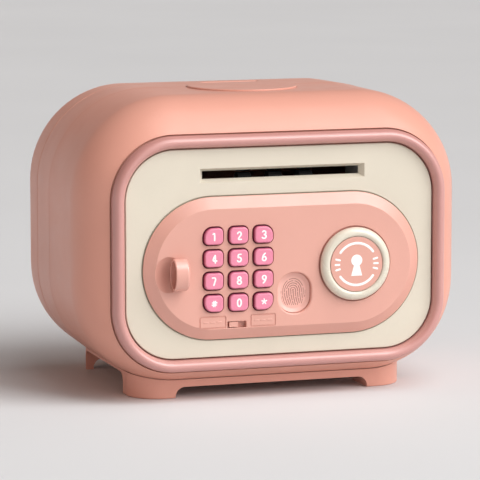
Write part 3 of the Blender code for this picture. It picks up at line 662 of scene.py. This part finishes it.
def roundover(inward, steps=22):
    """Stations of the front roundover from the bezel to the widest section, pushed inward by a wall."""
    whole = math.radians(ROUNDOVER_TURN)
    reach = (ROUNDOVER_END - CASE_FRONT) / math.sin(whole)
    stations = []
    for i in range(steps + 1):
        turn = whole * (1.0 - i / steps)
        rise = 1.0 - (1.0 - math.cos(turn)) / (1.0 - math.cos(whole))
        depth = ROUNDOVER_END - (reach - inward) * math.sin(turn)
        stations.append((rise, inward * math.cos(turn), depth))
    return stations


def back_round(inward, steps=14):
    """Stations of the rounded rear edge, pushed inward by a wall."""
    reach = CASE_BACK - BACK_ROUND_START
    start = crease_inset(BACK_ROUND_START)
    stations = []
    for i in range(steps + 1):
        turn = math.radians(90.0 * i / steps)
        inset = start + BACK_ROUND_INSET * (1.0 - math.cos(turn)) + inward * math.cos(turn)
        stations.append((1.0, inset, BACK_ROUND_START + (reach - inward) * math.sin(turn)))
    return stations


def case_loops(stations):
    """The case's section at each (rise, inset, depth)."""
    return [across(case_outline(rise, inset), depth) for rise, inset, depth in stations]


def screw_head(x, z, radius, shank, front, back, body, name, replaces):
    """A pan-head screw seen from the back, with a cross recess."""
    under = back - 2.0
    profile = [(0.3, front, 0), (shank, front, 0.2), (shank, under, 0)]
    profile += [(radius, under, 0.1), (radius, back - 0.6, 0.5), (0.3, back, 0)]
    reach, half, floor = radius * 0.55, 0.32, back - 1.1
    arms = [
        box(x - reach, x + reach, floor, back + 1.0, z - half, z + half),
        box(x - half, x + half, floor, back + 1.0, z - reach, z + reach),
    ]
    piece(name, turned_about_y(x, z, softened(profile, 4), 32), steel, body, replaces, cut=arms)


def case_stations():
    """The case shell's stations: the lip at the bezel, the outside back to the seam, and the inside."""
    stations = [(0.0, -0.15, CASE_FRONT + 1.2), (0.0, -0.15, CASE_FRONT + 0.25), (0.0, -0.3, CASE_FRONT)]
    stations += roundover(0.0)[1:]
    for depth in (38.0, 46.0, 54.0, 62.0):
        stations.append((1.0, CREASE_STEP * (depth - ROUNDOVER_END) / (CREASE - ROUNDOVER_END), depth))
    stations += [(1.0, CREASE_STEP, CREASE - 0.3), (1.0, 0.0, CREASE)]
    stations += [(1.0, crease_inset(depth), depth) for depth in (70.8, 78.0, 87.0)]
    seam = crease_inset(SEAM)
    stations += [(1.0, seam + inset, SEAM - ahead) for ahead, inset in SEAM_CHAMFER]
    stations += [(1.0, seam + WALL, SEAM), (1.0, WALL, CREASE)] + roundover(WALL)[::-1]
    stations += [(0.0, FLANGE_INSET, CASE_FRONT + WALL), (0.0, FLANGE_INSET, CASE_FRONT + 1.2)]
    return stations


def make_shell():
    hinge_notch = box(76.5, 85.9, 1.5, 4.8, DOOR_Z - 14.2, DOOR_Z + 14.2)
    top = CASE_TOP
    seat = []
    for grow, rise in ((0.3, -1.2), (0.3, -0.25), (0.36, -0.1), (0.5, -0.01), (0.5, 3.0)):
        seat.append((TOP_PLATE_RADIUS + grow, top + rise))
    chute = box(-17.6, 17.6, COIN_SLIT_DEPTH - 4.6, COIN_SLIT_DEPTH + 4.6, 140.0, top + 2.0)
    bosses = []
    bores = []
    for x, z in REAR_SCREWS:
        is_upper = z > (CASE_TOP + CASE_BOTTOM) / 2
        corner_z = CASE_TOP - CASE_RADIUS if is_upper else CASE_BOTTOM + CASE_RADIUS
        corner = Vector((math.copysign(CASE_HALF - CASE_RADIUS, x), corner_z))
        start = Vector((x, z))
        outward = (start - corner).normalized()
        end = corner + outward * (CASE_RADIUS - 1.4)
        aside = Vector((-outward.y, outward.x)) * 1.2
        rib = [tuple(p) for p in (start - aside, end - aside, end + aside, start + aside)]
        bosses += [plate(circle(x, z, 4.5, 32), 80.0, SEAM), plate(rib, 81.0, SEAM - 4.0)]
        bores.append(plate(circle(x, z, 1.5, 16), 82.0, SEAM + 1.0))
    shell = loft(case_loops(case_stations()), closed=True)
    cuts = [hinge_notch, turned_about_z(0.0, TOP_PLATE_DEPTH, seat), chute] + bores
    piece("case_shell", shell, pink, "case", ("main_shell",), bosses, cuts, sharp=24.0)


def make_rear():
    seam = crease_inset(SEAM)
    lip = seam + WALL + GAP
    stations = back_round(WALL)[::-1]
    stations += [(1.0, lip + 1.5, 100.0), (1.0, lip + 1.5, SEAM - 3.5), (1.0, lip, SEAM - 3.5)]
    stations += [(1.0, lip, SEAM + GAP)]
    stations += [(1.0, seam + inset, SEAM + GAP + behind) for behind, inset in SEAM_CHAMFER[::-1]]
    stations += [(1.0, crease_inset(103.0), 103.0)] + back_round(0.0)
    tubes = [plate(circle(x, z, 4.5, 32), SEAM + 0.6, 124.0) for x, z in REAR_SCREWS]
    wells = [plate(circle(x, z, 3.6, 32), 100.0, 127.0) for x, z in REAR_SCREWS]
    holes = [plate(circle(x, z, 1.6, 16), 94.0, 101.0) for x, z in REAR_SCREWS]
    hatch = box(-HATCH_HALF, HATCH_HALF, 120.0, 128.0, *HATCH_HEIGHTS)
    cuts = wells + holes + [hatch]
    cover = loft(case_loops(stations))
    piece("case_back", cover, pink, "case", ("rear_cover",), tubes, cuts, sharp=24.0)
    for number, (x, z) in enumerate(REAR_SCREWS, 1):
        name, node = f"rear_screw_head_{number}", f"rear_screw_{number}"
        screw_head(x, z, 3.2, 1.2, 84.0, 102.9, "case", name, (node,))


def make_battery_door():
    low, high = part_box("battery_cover")
    x0, x1, z0, z1 = low.x / MM, high.x / MM, low.z / MM, high.z / MM
    _, screw_z = node_centre("battery_cover_screw")
    cuts = [plate(circle(0.0, screw_z, 1.5, 24), 122.0, 128.0)]
    cuts.append(plate(circle(0.0, screw_z, 2.8, 32), CASE_BACK - 1.3, 128.0))
    for i in range(7):
        half = 13.0 - 1.2 * abs(i - 3)
        cuts.append(rod_x(CASE_BACK + 0.25, z0 + 6.0 + 2.2 * i, 0.6, half))
    cover = soft_plate(rectangle_of(x0, x1, z0, z1, 1.2), low.y / MM - FACE_Y, CASE_BACK, 0.4)
    piece("battery_door", cover, pink, "case", ("battery_cover",), cut=cuts)
    back = CASE_BACK - 0.1
    screw_head(0.0, screw_z, 2.4, 1.2, 115.0, back, "case", "battery_door_screw", ("battery_cover_screw",))


def rod_x(depth, z, radius, half):
    """A bar with round ends along X, centred on x = 0, for cutting a grip groove."""
    profile = [(0.05, -half)]
    for i in range(1, 5):
        turn = math.radians(22.5 * i)
        profile.append((radius * math.sin(turn), -half + radius * (1 - math.cos(turn))))
    profile += [(width, -x) for width, x in profile[::-1]]
    return turned_about_x(depth, z, profile, 16)


def make_bezel():
    start, end = 0.4, BEZEL_WIDTH - 0.5  # a fine gap to the case and one to the panel
    half = (end - start) / 2
    ring = [(start, BEZEL_BACK)]
    for i in range(19):
        turn = math.radians(10.0 * i)
        rise = (BEZEL_RISE + 1.0) * math.sin(turn) ** 0.9
        ring.append((start + half - half * math.cos(turn), 1.0 - rise))
    ring.append((end, BEZEL_BACK))
    loops = [across(case_outline(0.0, inset, 1), depth) for inset, depth in ring]
    piece("bezel_hoop", loft(loops, closed=True), mauve, "case", ("bezel_ring",), sharp=50.0)


def make_panel():
    rim, back = BEZEL_BACK, PANEL_THICKNESS
    profile = [(9.0, 0.0, 0), (0.1, 0.0, 0.6), (0.1, rim, 0), (3.5, rim, 0), (3.5, back, 0), (9.0, back, 0)]

    def opening(inset):
        return stadium(DOOR_X, DOOR_Z, DOOR_HALF, DOOR_OPENING_RADIUS - inset)

    groove = [(-0.6, -1.0), (-0.6, 1.4), (0.3, 1.4), (0.3, -1.0)]
    door_line = loft([across(door_outline(inset), depth) for inset, depth in groove], closed=True)
    funnel = []
    for depth in (-0.9, -0.12, 0.12, 4.2):
        share = max(depth, 0.0) / PANEL_THICKNESS
        grow = 0.5 if depth < -0.2 else 0.22 if depth < 0.0 else 0.0
        sizes = zip(SLOT_OUTER, SLOT_INNER)
        width, height = (outer + (inner - outer) * share + grow for outer, inner in sizes)
        corner = 0.35 if depth < 1.0 else 0.2
        funnel.append(across(centred_rectangle(SLOT_X, SLOT_Z, width / 2, height / 2, corner, 3), depth))
    panel = loft([across(panel_outline(inset), depth) for inset, depth in softened(profile)])
    cuts = [flared(opening, 6.0, 0.0, 0.4), loft(funnel), door_line]
    piece("face_panel", panel, cream, "case", ("front_panel",), cut=cuts)


def make_base():
    plan = rectangle_of(-BASE_HALF, BASE_HALF, BASE_FRONT, BASE_BACK, BASE_RADIUS, FINE)
    foot = softened([(6.0, 0.0, 0), (0.0, 0.0, 0.8), (0.0, 20.0, 0)])
    case = [(rise, inset - GAP, depth) for rise, inset, depth in roundover(0.0)]
    case += [(1.0, -GAP, CREASE), (1.0, crease_inset(BACK_ROUND_START) - GAP, BACK_ROUND_START)]
    case += [(1.0, inset - GAP, depth + GAP) for _, inset, depth in back_round(0.0)[1:]]
    arches = []
    for low, high, top in (FRONT_ARCH, REAR_ARCH, SIDE_ARCH):
        arches.append(rounded_rectangle(low, high, -6.0, top, (5.0, 5.0, 0.1, 0.1), 8))
    cuts = [loft(case_loops(case)), plate(arches[0], -5.0, 60.0), plate(arches[1], 55.0, 130.0)]
    cuts.append(loft([upright(arches[2], x) for x in (-90.0, 90.0)]))
    skirt = loft([level(plan(inset), z) for inset, z in foot])
    piece("base_skirt", skirt, pink, "case", ("base_frame",), cut=cuts)


def make_top_plate():
    top = CASE_TOP + TOP_PLATE_RISE
    under, rim = CASE_TOP - 0.9, TOP_PLATE_RADIUS
    profile = softened([(0.5, under, 0), (rim, under, 0.1), (rim, top, 0.55), (0.5, top, 0)], 5)
    collar = box(-17.2, 17.2, COIN_SLIT_DEPTH - 4.2, COIN_SLIT_DEPTH + 4.2, 138.0, CASE_TOP - 0.5)
    loops = []
    for i in range(7):
        turn = math.radians(13.0 * i)
        grow = 0.7 * (1 - math.cos(turn))
        half, width = COIN_SLIT[0] / 2 + grow, COIN_SLIT[1] / 2 + grow
        outline = centred_rectangle(0.0, COIN_SLIT_DEPTH, half, width, 0.5 + grow, 5)
        if i == 0:
            loops.append(level(outline, 130.0))
        loops.append(level(outline, top - 0.7 * (1 - math.sin(turn))))
    loops.append([(x, y, top + 4.0) for x, y, _ in loops[-1]])
    disc = turned_about_z(0.0, TOP_PLATE_DEPTH, profile, 128)
    piece("coin_disc", disc, pink, "case", ("coin_plate",), [collar], [loft(loops)])


# -------- feeder


def make_rollers():
    for number in (1, 2, 3):
        name = f"feed_roller_{number}"
        low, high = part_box(name)
        depth, z = ((low.y + high.y) / 2) / MM - FACE_Y, (low.z + high.z) / 2 / MM
        radius = (high.z - low.z) / 2 / MM
        left, right = low.x / MM, high.x / MM
        profile = softened([(1.9, left, 0), (radius, left, 0.5), (radius, right, 0.5), (1.9, right, 0)], 4)
        section = ((-0.3, -0.15), (1, -0.3), (1, 0.3), (-0.3, 0.15))
        grooves = []
        for share in (0.3, 0.5, 0.7):
            x = left + (right - left) * share
            ring = [upright(circle(depth, z, radius + grow, 48), x + aside) for grow, aside in section]
            grooves.append(loft(ring, closed=True))
        tyre = turned_about_x(depth, z, profile)
        piece(f"feed_tyre_{number}", tyre, rubber, "feed_roller", (name,), cut=grooves)


# -------- door


def pull_outline(inward):
    """The oval section of the finger pull, in (depth, z)."""
    front, back = PULL_DEPTHS
    middle, half = (front + back) / 2, (back - front) / 2 - inward
    return [(middle + half * a, PULL_Z + (PULL_HALF - inward) * b) for a, b in circle(0.0, 0.0, 1.0, 64)]


def scoop_cutter():
    """An oval hollow under the finger pull, dished towards a soft rim and deepest beside the pull."""
    x, z, width, height, sunk, lean = -59.6, 64.9, 7.5, 9.2, 4.0, 1.8
    shares = [0.03 + 0.069 * i for i in range(14)]
    profile = [(share, sunk * (1.0 - share**2) ** 1.2) for share in shares]
    profile += [(0.965, 0.08), (1.0, 0.0), (1.0, -5.0)]
    loops = []
    for share, sink in profile:
        middle = x + lean * (1.0 - share)
        outline = [(middle + width * share * a, z + height * share * b) for a, b in circle(0.0, 0.0, 1.0, 56)]
        loops.append(across(outline, sink - DOOR_RISE))
    return loft(loops)


def key_outline(row, col, grow):
    """A key's outline: the corner that faces out of the keypad's own corner is rounder."""
    x, z = node_centre(f"key_{KEY_NAMES[row][col]}")
    radii = [max(KEY_RADIUS + grow, 0.4)] * 4
    outer_corner = {(0, 2): 0, (0, 0): 1, (3, 0): 2, (3, 2): 3}.get((row, col))
    if outer_corner is not None:
        radii[outer_corner] = KEY_OUTER_RADIUS + grow
    return centred_rectangle(x, z, KEY_HALF[0] + grow, KEY_HALF[1] + grow, radii, 6)


def pad_outline(grow):
    x, z = node_centre("fingerprint_pad")
    return centred_rectangle(x, z, PAD_HALF[0] + grow, PAD_HALF[1] + grow, PAD_RADIUS + grow, 12)


def key_holes():
    cutters = []
    for row in range(4):
        for col in range(3):

            def outline(inset, row=row, col=col):
                return key_outline(row, col, KEY_CLEARANCE - inset)

            cutters.append(flared(outline, -1.0, -DOOR_RISE, 0.3, 4))
    return cutters


def knob_cutters():
    """The hole for the knob's stem, and the shadow line round its rim."""
    knob = node_centre("knob_ring")
    line = []
    for grow, depth in ((-0.5, -1), (-0.5, 1.6), (0.75, 1.6), (0.75, -1)):
        line.append(across(circle(*knob, KNOB_RADIUS + grow, 96), depth - DOOR_RISE))
    return [plate(circle(*knob, 4.4, 32), -8.0, -1.0), loft(line, closed=True)]


def label_groove(left, right):
    """A cutter for a label's frame."""
    low, high = LABEL_HEIGHTS
    loops = []
    for grow, depth in ((-0.45, 0.4), (0.05, 0.4), (0.35, -1.0), (-0.75, -1.0)):
        outline = rounded_rectangle(left - grow, right + grow, low - grow, high + grow, 0.8 + grow, 4)
        loops.append(across(outline, depth - DOOR_RISE))
    return loft(loops, closed=True)


def make_door():
    front, rim = -DOOR_RISE, -0.35
    profile = [(14.0, front, 0), (DOOR_CHAMFER, front, 0.7), (0.0, -0.9, 0.5)]
    profile += [(0.0, rim, 0.15), (2.0, rim, 0)]
    loops = [across(door_outline(inset), depth) for inset, depth in softened(profile, 6)]
    loops += [across(plug_outline(0.0), rim), across(plug_outline(0.0), PLUG_SPLIT)]
    loops += [across(plug_outline(PLUG_WALL), PLUG_SPLIT), across(plug_outline(PLUG_WALL), DOOR_PLATE_BACK)]
    half_x, half_z = SWITCH_SLOT[0] / 2, SWITCH_SLOT[1] / 2
    slot = rectangle_of(SWITCH_X - half_x, SWITCH_X + half_x, SWITCH_Z - half_z, SWITCH_Z + half_z, 0.35)
    cuts = [scoop_cutter()] + key_holes()
    cuts.append(flared(lambda inset: pad_outline(-inset), -1.0, front, 0.9, 7))
    cuts += knob_cutters()
    cuts.append(flared(slot, -1.0, front, 0.2, 3))
    cuts += [label_groove(left, right) for left, right in LABELS]
    scoop_back = box(-66.0, -49.5, -2.6, 0.8, DOOR_Z - 11.0, DOOR_Z + 8.8)
    piece("door_shell", loft(loops), door_pink, "door", ("door_panel",), [scoop_back], cuts)


def make_label_marks():
    """Three short raised bars in each label's frame."""
    z = sum(LABEL_HEIGHTS) / 2
    marks = []
    for left, right in LABELS:
        middle = (left + right) / 2
        for x in (middle - 3.4, middle, middle + 3.4):
            marks.append(bead([(x - 0.9, z), (x + 0.9, z)], 0.5, 0.22, 0.03 - DOOR_RISE))
    piece("label_marks", joined(marks), door_pink, "door")


def make_door_back():
    front, back = PLUG_SPLIT + GAP, DOOR_BACK
    tub = [(2.0, back - 2.0, 0), (2.0, front, 0), (0.0, front, 0), (0.0, back, 1.2), (9.0, back, 0)]
    loops = [across(plug_outline(inset), depth) for inset, depth in softened(tub, 5)]
    posts = [plate(circle(x, DOOR_Z + dz, 3.2, 32), 1.6, DOOR_BACK - 1.0) for x, dz in DOOR_SCREWS]
    cuts = [plate(circle(x, DOOR_Z + dz, 1.6, 20), 0.0, DOOR_BACK + 2.0) for x, dz in DOOR_SCREWS]
    cuts.append(box(-72.0, -64.0, BOLT_DEPTH - 2.3, BOLT_DEPTH + 2.3, DOOR_Z - 5.2, DOOR_Z + 5.2))
    for dz in (-8.0, -4.0, 0.0, 4.0, 8.0):
        z = DOOR_Z + dz
        cuts.append(plate(rounded_rectangle(-25.0, -5.0, z - 0.9, z + 0.9, 0.85, 5), 10.0, 16.0))
    piece("door_tub", loft(loops), white, "door", ("door_back",), posts, cuts)
    for number, (x, dz) in enumerate(DOOR_SCREWS, 1):
        back = DOOR_BACK + GAP + (2.3 if x > 0 else 0.0) + 1.6  # the hinge arm is under the right-hand heads
        name, node = f"door_screw_head_{number}", f"door_screw_{number}"
        screw_head(x, DOOR_Z + dz, 2.6, 1.2, -1.5, back, "door", name, (node,))


def make_pull():
    left, right = PULL_X
    inner = right - 1.2
    profile = [(4.0, right, 0), (0.0, right, 2.2), (0.0, left, 0.6)]
    profile += [(1.3, left, 0.45), (1.3, inner, 0.5), (4.0, inner, 0)]
    loops = [upright(pull_outline(inset), x) for inset, x in softened(profile, 7)]
    piece("finger_pull", loft(loops), pull_pink, "door", ("door_pull",))


def make_keys():
    front, back = -DOOR_RISE - KEY_RISE, DOOR_PLATE_BACK + GAP
    profile = [(-3.0, front + 0.12, 0), (-0.5, front, 0.7), (0.0, front + 1.3, 0.7), (0.0, back, 0)]
    profile = softened(profile, 5) + [(0.65, back), (0.65, back + 0.8)]
    for row, names in enumerate(KEY_NAMES):
        for col, label in enumerate(names):
            key = f"key_{label}"
            loops = [across(key_outline(row, col, grow), depth) for grow, depth in profile]
            piece(f"key_cap_{label}", loft(loops), magenta, key, (key,))
            strokes = figure(label, *node_centre(key), front + 0.14)
            piece(f"key_print_{label}", joined(strokes), print_white, key)


def ellipse(cx, cz, rx, rz, start, end, steps=14):
    return [(cx + rx * a, cz + rz * b) for a, b in arc(0.0, 0.0, 1.0, start, end, steps)]


def oval(cx, cz, rx, rz):
    """A whole oval as a closed stroke."""
    return ellipse(cx, cz, rx, rz, 0.0, 345.0, 23), True


def spoke(degrees):
    """One arm of the star."""
    turn = math.radians(degrees)
    return [(0.30, 0.50), (0.30 + 0.24 * math.cos(turn), 0.50 + 0.24 * math.sin(turn))]


# Each key's strokes, as (path, is_closed) in a box 0.6 wide and 1.0 high
FIGURES = {
    "0": [oval(0.30, 0.50, 0.21, 0.42)],
    "1": [([(0.17, 0.78), (0.34, 0.92), (0.34, 0.08)], False)],
    "2": [(ellipse(0.30, 0.68, 0.20, 0.24, 165.0, -35.0) + [(0.10, 0.08), (0.52, 0.08)], False)],
    "3": [
        (ellipse(0.28, 0.71, 0.19, 0.21, 150.0, -80.0), False),
        (ellipse(0.28, 0.29, 0.23, 0.21, 80.0, -150.0), False),
    ],
    "4": [([(0.38, 0.92), (0.07, 0.30), (0.56, 0.30)], False), ([(0.41, 0.90), (0.41, 0.08)], False)],
    "5": [
        ([(0.50, 0.92), (0.17, 0.92), (0.14, 0.56)] + ellipse(0.29, 0.33, 0.22, 0.25, 118.0, -150.0), False),
    ],
    "6": [oval(0.30, 0.31, 0.21, 0.23), ([(0.10, 0.36), (0.15, 0.58), (0.26, 0.78), (0.42, 0.92)], False)],
    "7": [([(0.08, 0.92), (0.52, 0.92), (0.24, 0.08)], False)],
    "8": [oval(0.30, 0.72, 0.17, 0.20), oval(0.30, 0.29, 0.22, 0.21)],
    "9": [oval(0.30, 0.69, 0.21, 0.23), ([(0.50, 0.64), (0.45, 0.42), (0.34, 0.22), (0.18, 0.08)], False)],
    "hash": [
        ([(0.20, 0.26), (0.26, 0.74)], False),
        ([(0.36, 0.26), (0.42, 0.74)], False),
        ([(0.08, 0.40), (0.50, 0.40)], False),
        ([(0.12, 0.60), (0.54, 0.60)], False),
    ],
    "star": [(spoke(degrees), False) for degrees in (90, 162, 234, 306, 18)],
}


def figure(label, x, z, depth):
    """The strokes of a key's figure, centred on (x, z)."""
    height, half_width = (5.4, 0.34) if label in ("hash", "star") else (4.5, 0.44)
    shapes = []
    for path, closed in FIGURES[label]:
        points = [(x + (px - 0.30) * height, z + (pz - 0.50) * height) for px, pz in path]
        shapes.append(bead(points if closed else smooth_path(points), half_width, 0.10, depth, closed))
    return shapes


def ridge_paths(x, z, half_x, half_z):
    """Nested arches like a finger's ridges, kept inside an oval and broken here and there."""
    paths = []
    for number in range(7):
        reach = 0.45 + 0.98 * number
        left = [(-reach - 0.03 * drop * drop, -drop) for drop in (7.2 - 0.3 * i for i in range(24))]
        right = [(reach - 0.022 * drop * drop, -drop) for drop in (0.3 * i for i in range(1, 25))]
        crown = [(reach * a, 1.12 * reach * b) for a, b in arc(0.0, 0.0, 1.0, 180.0, 0.0, 12 + 4 * number)]
        path = []
        for step, (px, pz) in enumerate(left + crown + right):
            inside = (px / half_x) ** 2 + ((pz + 0.9) / half_z) ** 2 < 1.0
            if inside and (step * 3 + number * 11) % 53 > 2:
                path.append((x + px, z + 0.9 + pz))
                continue
            paths.append(path)
            path = []
        paths.append(path)
    return [path for path in paths if len(path) > 2]


def make_pad():
    front, back = -DOOR_RISE + PAD_SUNK, DOOR_PLATE_BACK + GAP
    profile = [(-6.0, front + PAD_DISH, 0), (-2.1, front + PAD_DISH - 0.08, 1.0), (-0.12, front - 0.15, 0.3)]
    profile = softened(profile + [(-0.12, back, 0)]) + [(0.9, back), (0.9, back + 0.8)]
    loops = [across(pad_outline(grow), depth) for grow, depth in profile]
    piece("finger_plate", loft(loops), pad_pink, "fingerprint_pad", ("fingerprint_pad",))
    ridges = ridge_paths(*node_centre("fingerprint_pad"), *RIDGE_OVAL)
    shape = joined([bead(path, 0.18, 0.12, front + PAD_DISH, sides=4) for path in ridges])
    piece("finger_ridges", shape, ridge_pink, "fingerprint_pad")


def make_switch():
    low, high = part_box("language_switch")
    x, _ = node_centre("language_switch")
    half = (SWITCH_SLOT[0] - SWITCH_TRAVEL - 0.6) / 2
    back = DOOR_PLATE_BACK + GAP
    shape = rectangle_of(x - half + 0.7, x + half, SWITCH_Z - 1.35, SWITCH_Z + 1.35, 0.4)
    stem = soft_plate(shape, -DOOR_RISE + 0.3, back + 0.4, 0.25)
    foot = box(low.x / MM, high.x / MM, back, back + 0.8, SWITCH_Z - 1.9, SWITCH_Z + 2.2)
    piece("switch_slider", stem, door_pink, "language_switch", ("language_switch",), add=[foot])


def make_knob():
    x, z = node_centre("knob_ring")
    front = -DOOR_RISE - KNOB_RISE
    base = -DOOR_RISE - GAP
    inner, outer = BADGE_RADIUS + 0.25, KNOB_RADIUS
    crest = inner + 0.34 * (outer - inner)
    profile = [(0.4, front + 1.5), (inner, front + 1.5)]
    for i in range(15):
        turn = math.radians(180.0 - 12.0 * i)
        half, drop = (crest - inner, 1.0) if turn > math.pi / 2 else (outer - crest, 2.9)
        profile.append((crest + half * math.cos(turn), front + drop * (1 - math.sin(turn) ** 1.15)))
    profile += [(outer, base - 0.5), (outer - 0.4, base), (4.0, base), (4.0, 0.6)]
    piece("dial_ring", turned_about_y(x, z, profile, 96), knob_cream, "knob", ("knob_ring",))
    face, under = front + BADGE_SUNK, front + BADGE_SUNK + 0.6
    badge = [(0.4, face, 0), (BADGE_RADIUS, face, 0.35), (BADGE_RADIUS, under, 0), (0.4, under, 0)]
    disc = turned_about_y(x, z, softened(badge, 4), 96)
    piece("dial_badge", disc, door_pink, "knob", ("knob_badge",))
    marks = [bead(arc(x, z, 10.5, start, start + 110.0, 30), 0.62, 0.10, face) for start in (35.0, 215.0)]
    for degrees in (-14.0, 0.0, 14.0, 166.0, 180.0, 194.0):
        turn = math.radians(degrees)
        ends = [(x + radius * math.cos(turn), z + radius * math.sin(turn)) for radius in (9.2, 11.2)]
        marks.append(bead(ends, 0.5, 0.10, face))
    keyhole = arc(x, z + 1.9, 2.9, -60.0, 240.0, 30) + [(x - 2.9, z - 5.8), (x + 2.9, z - 5.8)]
    marks.append(plate(keyhole, face - 0.1, face + 0.1))
    piece("dial_print", joined(marks), print_white, "knob")


# -------- stage


def make_stage():
    mesh = bpy.data.meshes.new("floor")
    points = [(x, y, 0.0) for x, y in circle(0.0, 0.0, 9.0, 96)]  # 9 metres in radius
    mesh.from_pydata(points, [], [tuple(range(96))])
    floor = placed("floor", mesh)
    tree = Tree("floor_white")
    drift = tree.ranged(tree.noise(3.0, 2.0), 0.0, 1.0)
    tone = tree.mixed(drift, (0.70, 0.71, 0.72, 1.0), (0.72, 0.73, 0.74, 1.0))
    tree.feed("Base Color", tone)
    tree.shader.inputs["Roughness"].default_value = 0.75
    tree.shader.inputs["Specular IOR Level"].default_value = 0.1
    mesh.materials.append(tree.material)


def area_light(name, place, target, size, power):
    data = bpy.data.lights.new(name, "AREA")
    data.shape = "RECTANGLE"
    data.size, data.size_y = size
    data.energy = power
    lamp = placed(name, data)
    lamp.location = place
    lamp.rotation_euler = (Vector(target) - Vector(place)).to_track_quat("-Z", "Y").to_euler()


def sun_light(name, towards, energy, spread, colour=(1.0, 1.0, 1.0)):
    """A very large soft light far away, in this direction."""
    data = bpy.data.lights.new(name, "SUN")
    data.energy = energy
    data.color = colour
    data.angle = math.radians(spread)
    lamp = placed(name, data)
    lamp.rotation_euler = Vector(towards).to_track_quat("Z", "Y").to_euler()


def make_world():
    """A pale backdrop all round, under a dim warm ceiling."""
    world = bpy.data.worlds.new("studio")
    world.use_nodes = True
    nodes, links = world.node_tree.nodes, world.node_tree.links
    direction = nodes.new("ShaderNodeTexCoord")
    height = nodes.new("ShaderNodeSeparateXYZ")
    links.new(direction.outputs["Generated"], height.inputs[0])
    fade = nodes.new("ShaderNodeValToRGB")
    backdrop, ceiling = fade.color_ramp.elements
    backdrop.position = 0.06
    backdrop.color = (0.62, 0.61, 0.60, 1.0)
    ceiling.position = 0.34
    ceiling.color = (0.11, 0.09, 0.08, 1.0)
    links.new(height.outputs["Z"], fade.inputs[0])
    links.new(fade.outputs["Color"], nodes["Background"].inputs["Color"])
    bpy.context.scene.world = world


def make_lights():
    sun_light("key", (0.58, -0.56, 0.60), 2.30, 44.0)
    sun_light("top", (0.25, -0.22, 0.94), 0.85, 38.0)
    sun_light("front", (0.05, -0.98, 0.18), 0.38, 50.0)
    sun_light("left", (-0.90, -0.25, 0.30), 0.34, 60.0, (1.0, 0.62, 0.46))
    middle = (0.0, 0.0, 0.07)
    area_light("right_strip", (0.9, -0.5, 0.45), middle, (0.25, 0.8), 1.4)
    area_light("top_box", (0.15, -0.75, 0.95), middle, (1.1, 0.4), 2.4)


def make_camera():
    """A long lens far away, to the left of the front and a little above."""
    turn, tilt = math.radians(18.22), math.radians(7.84)
    distance = 1545.1
    right = Vector((math.cos(turn), -math.sin(turn), 0.0))
    up = Vector((math.sin(turn) * math.sin(tilt), math.cos(turn) * math.sin(tilt), math.cos(tilt)))
    back = Vector((-math.sin(turn) * math.cos(tilt), -math.cos(turn) * math.cos(tilt), math.sin(tilt)))
    on_panel = Vector((0.0, FACE_Y, 90.7))
    target = on_panel - right * 20.30 - up * 11.51  # the middle of the view
    place = target + back * distance
    data = bpy.data.cameras.new("camera")
    data.sensor_width = 36.0
    data.lens = 234.27
    data.clip_start = 0.05
    data.clip_end = 50.0
    camera = placed("camera", data)
    turned = Matrix((right, up, back)).transposed()
    camera.matrix_world = Matrix.Translation(place * MM) @ turned.to_4x4()
    bpy.context.scene.camera = camera


def finish_cad_nodes():
    slots = {entry["node"]: entry["material_slot"] for entry in frame["record"]["subparts"]}
    for node, thing in frame["nodes"].items():
        finish = membrane if node == "keypad_membrane" else CAD_FINISH[slots[node]]
        thing.data.materials.clear()
        thing.data.materials.append(finish)


make_camera()
make_world()
make_lights()
make_stage()
finish_cad_nodes()
make_shell()
make_rear()
make_battery_door()
make_bezel()
make_panel()
make_base()
make_top_plate()
make_rollers()
make_door()
make_label_marks()
make_door_back()
make_pull()
make_keys()
make_pad()
make_switch()
make_knob()

bpy.context.scene.view_settings.view_transform = "Standard"
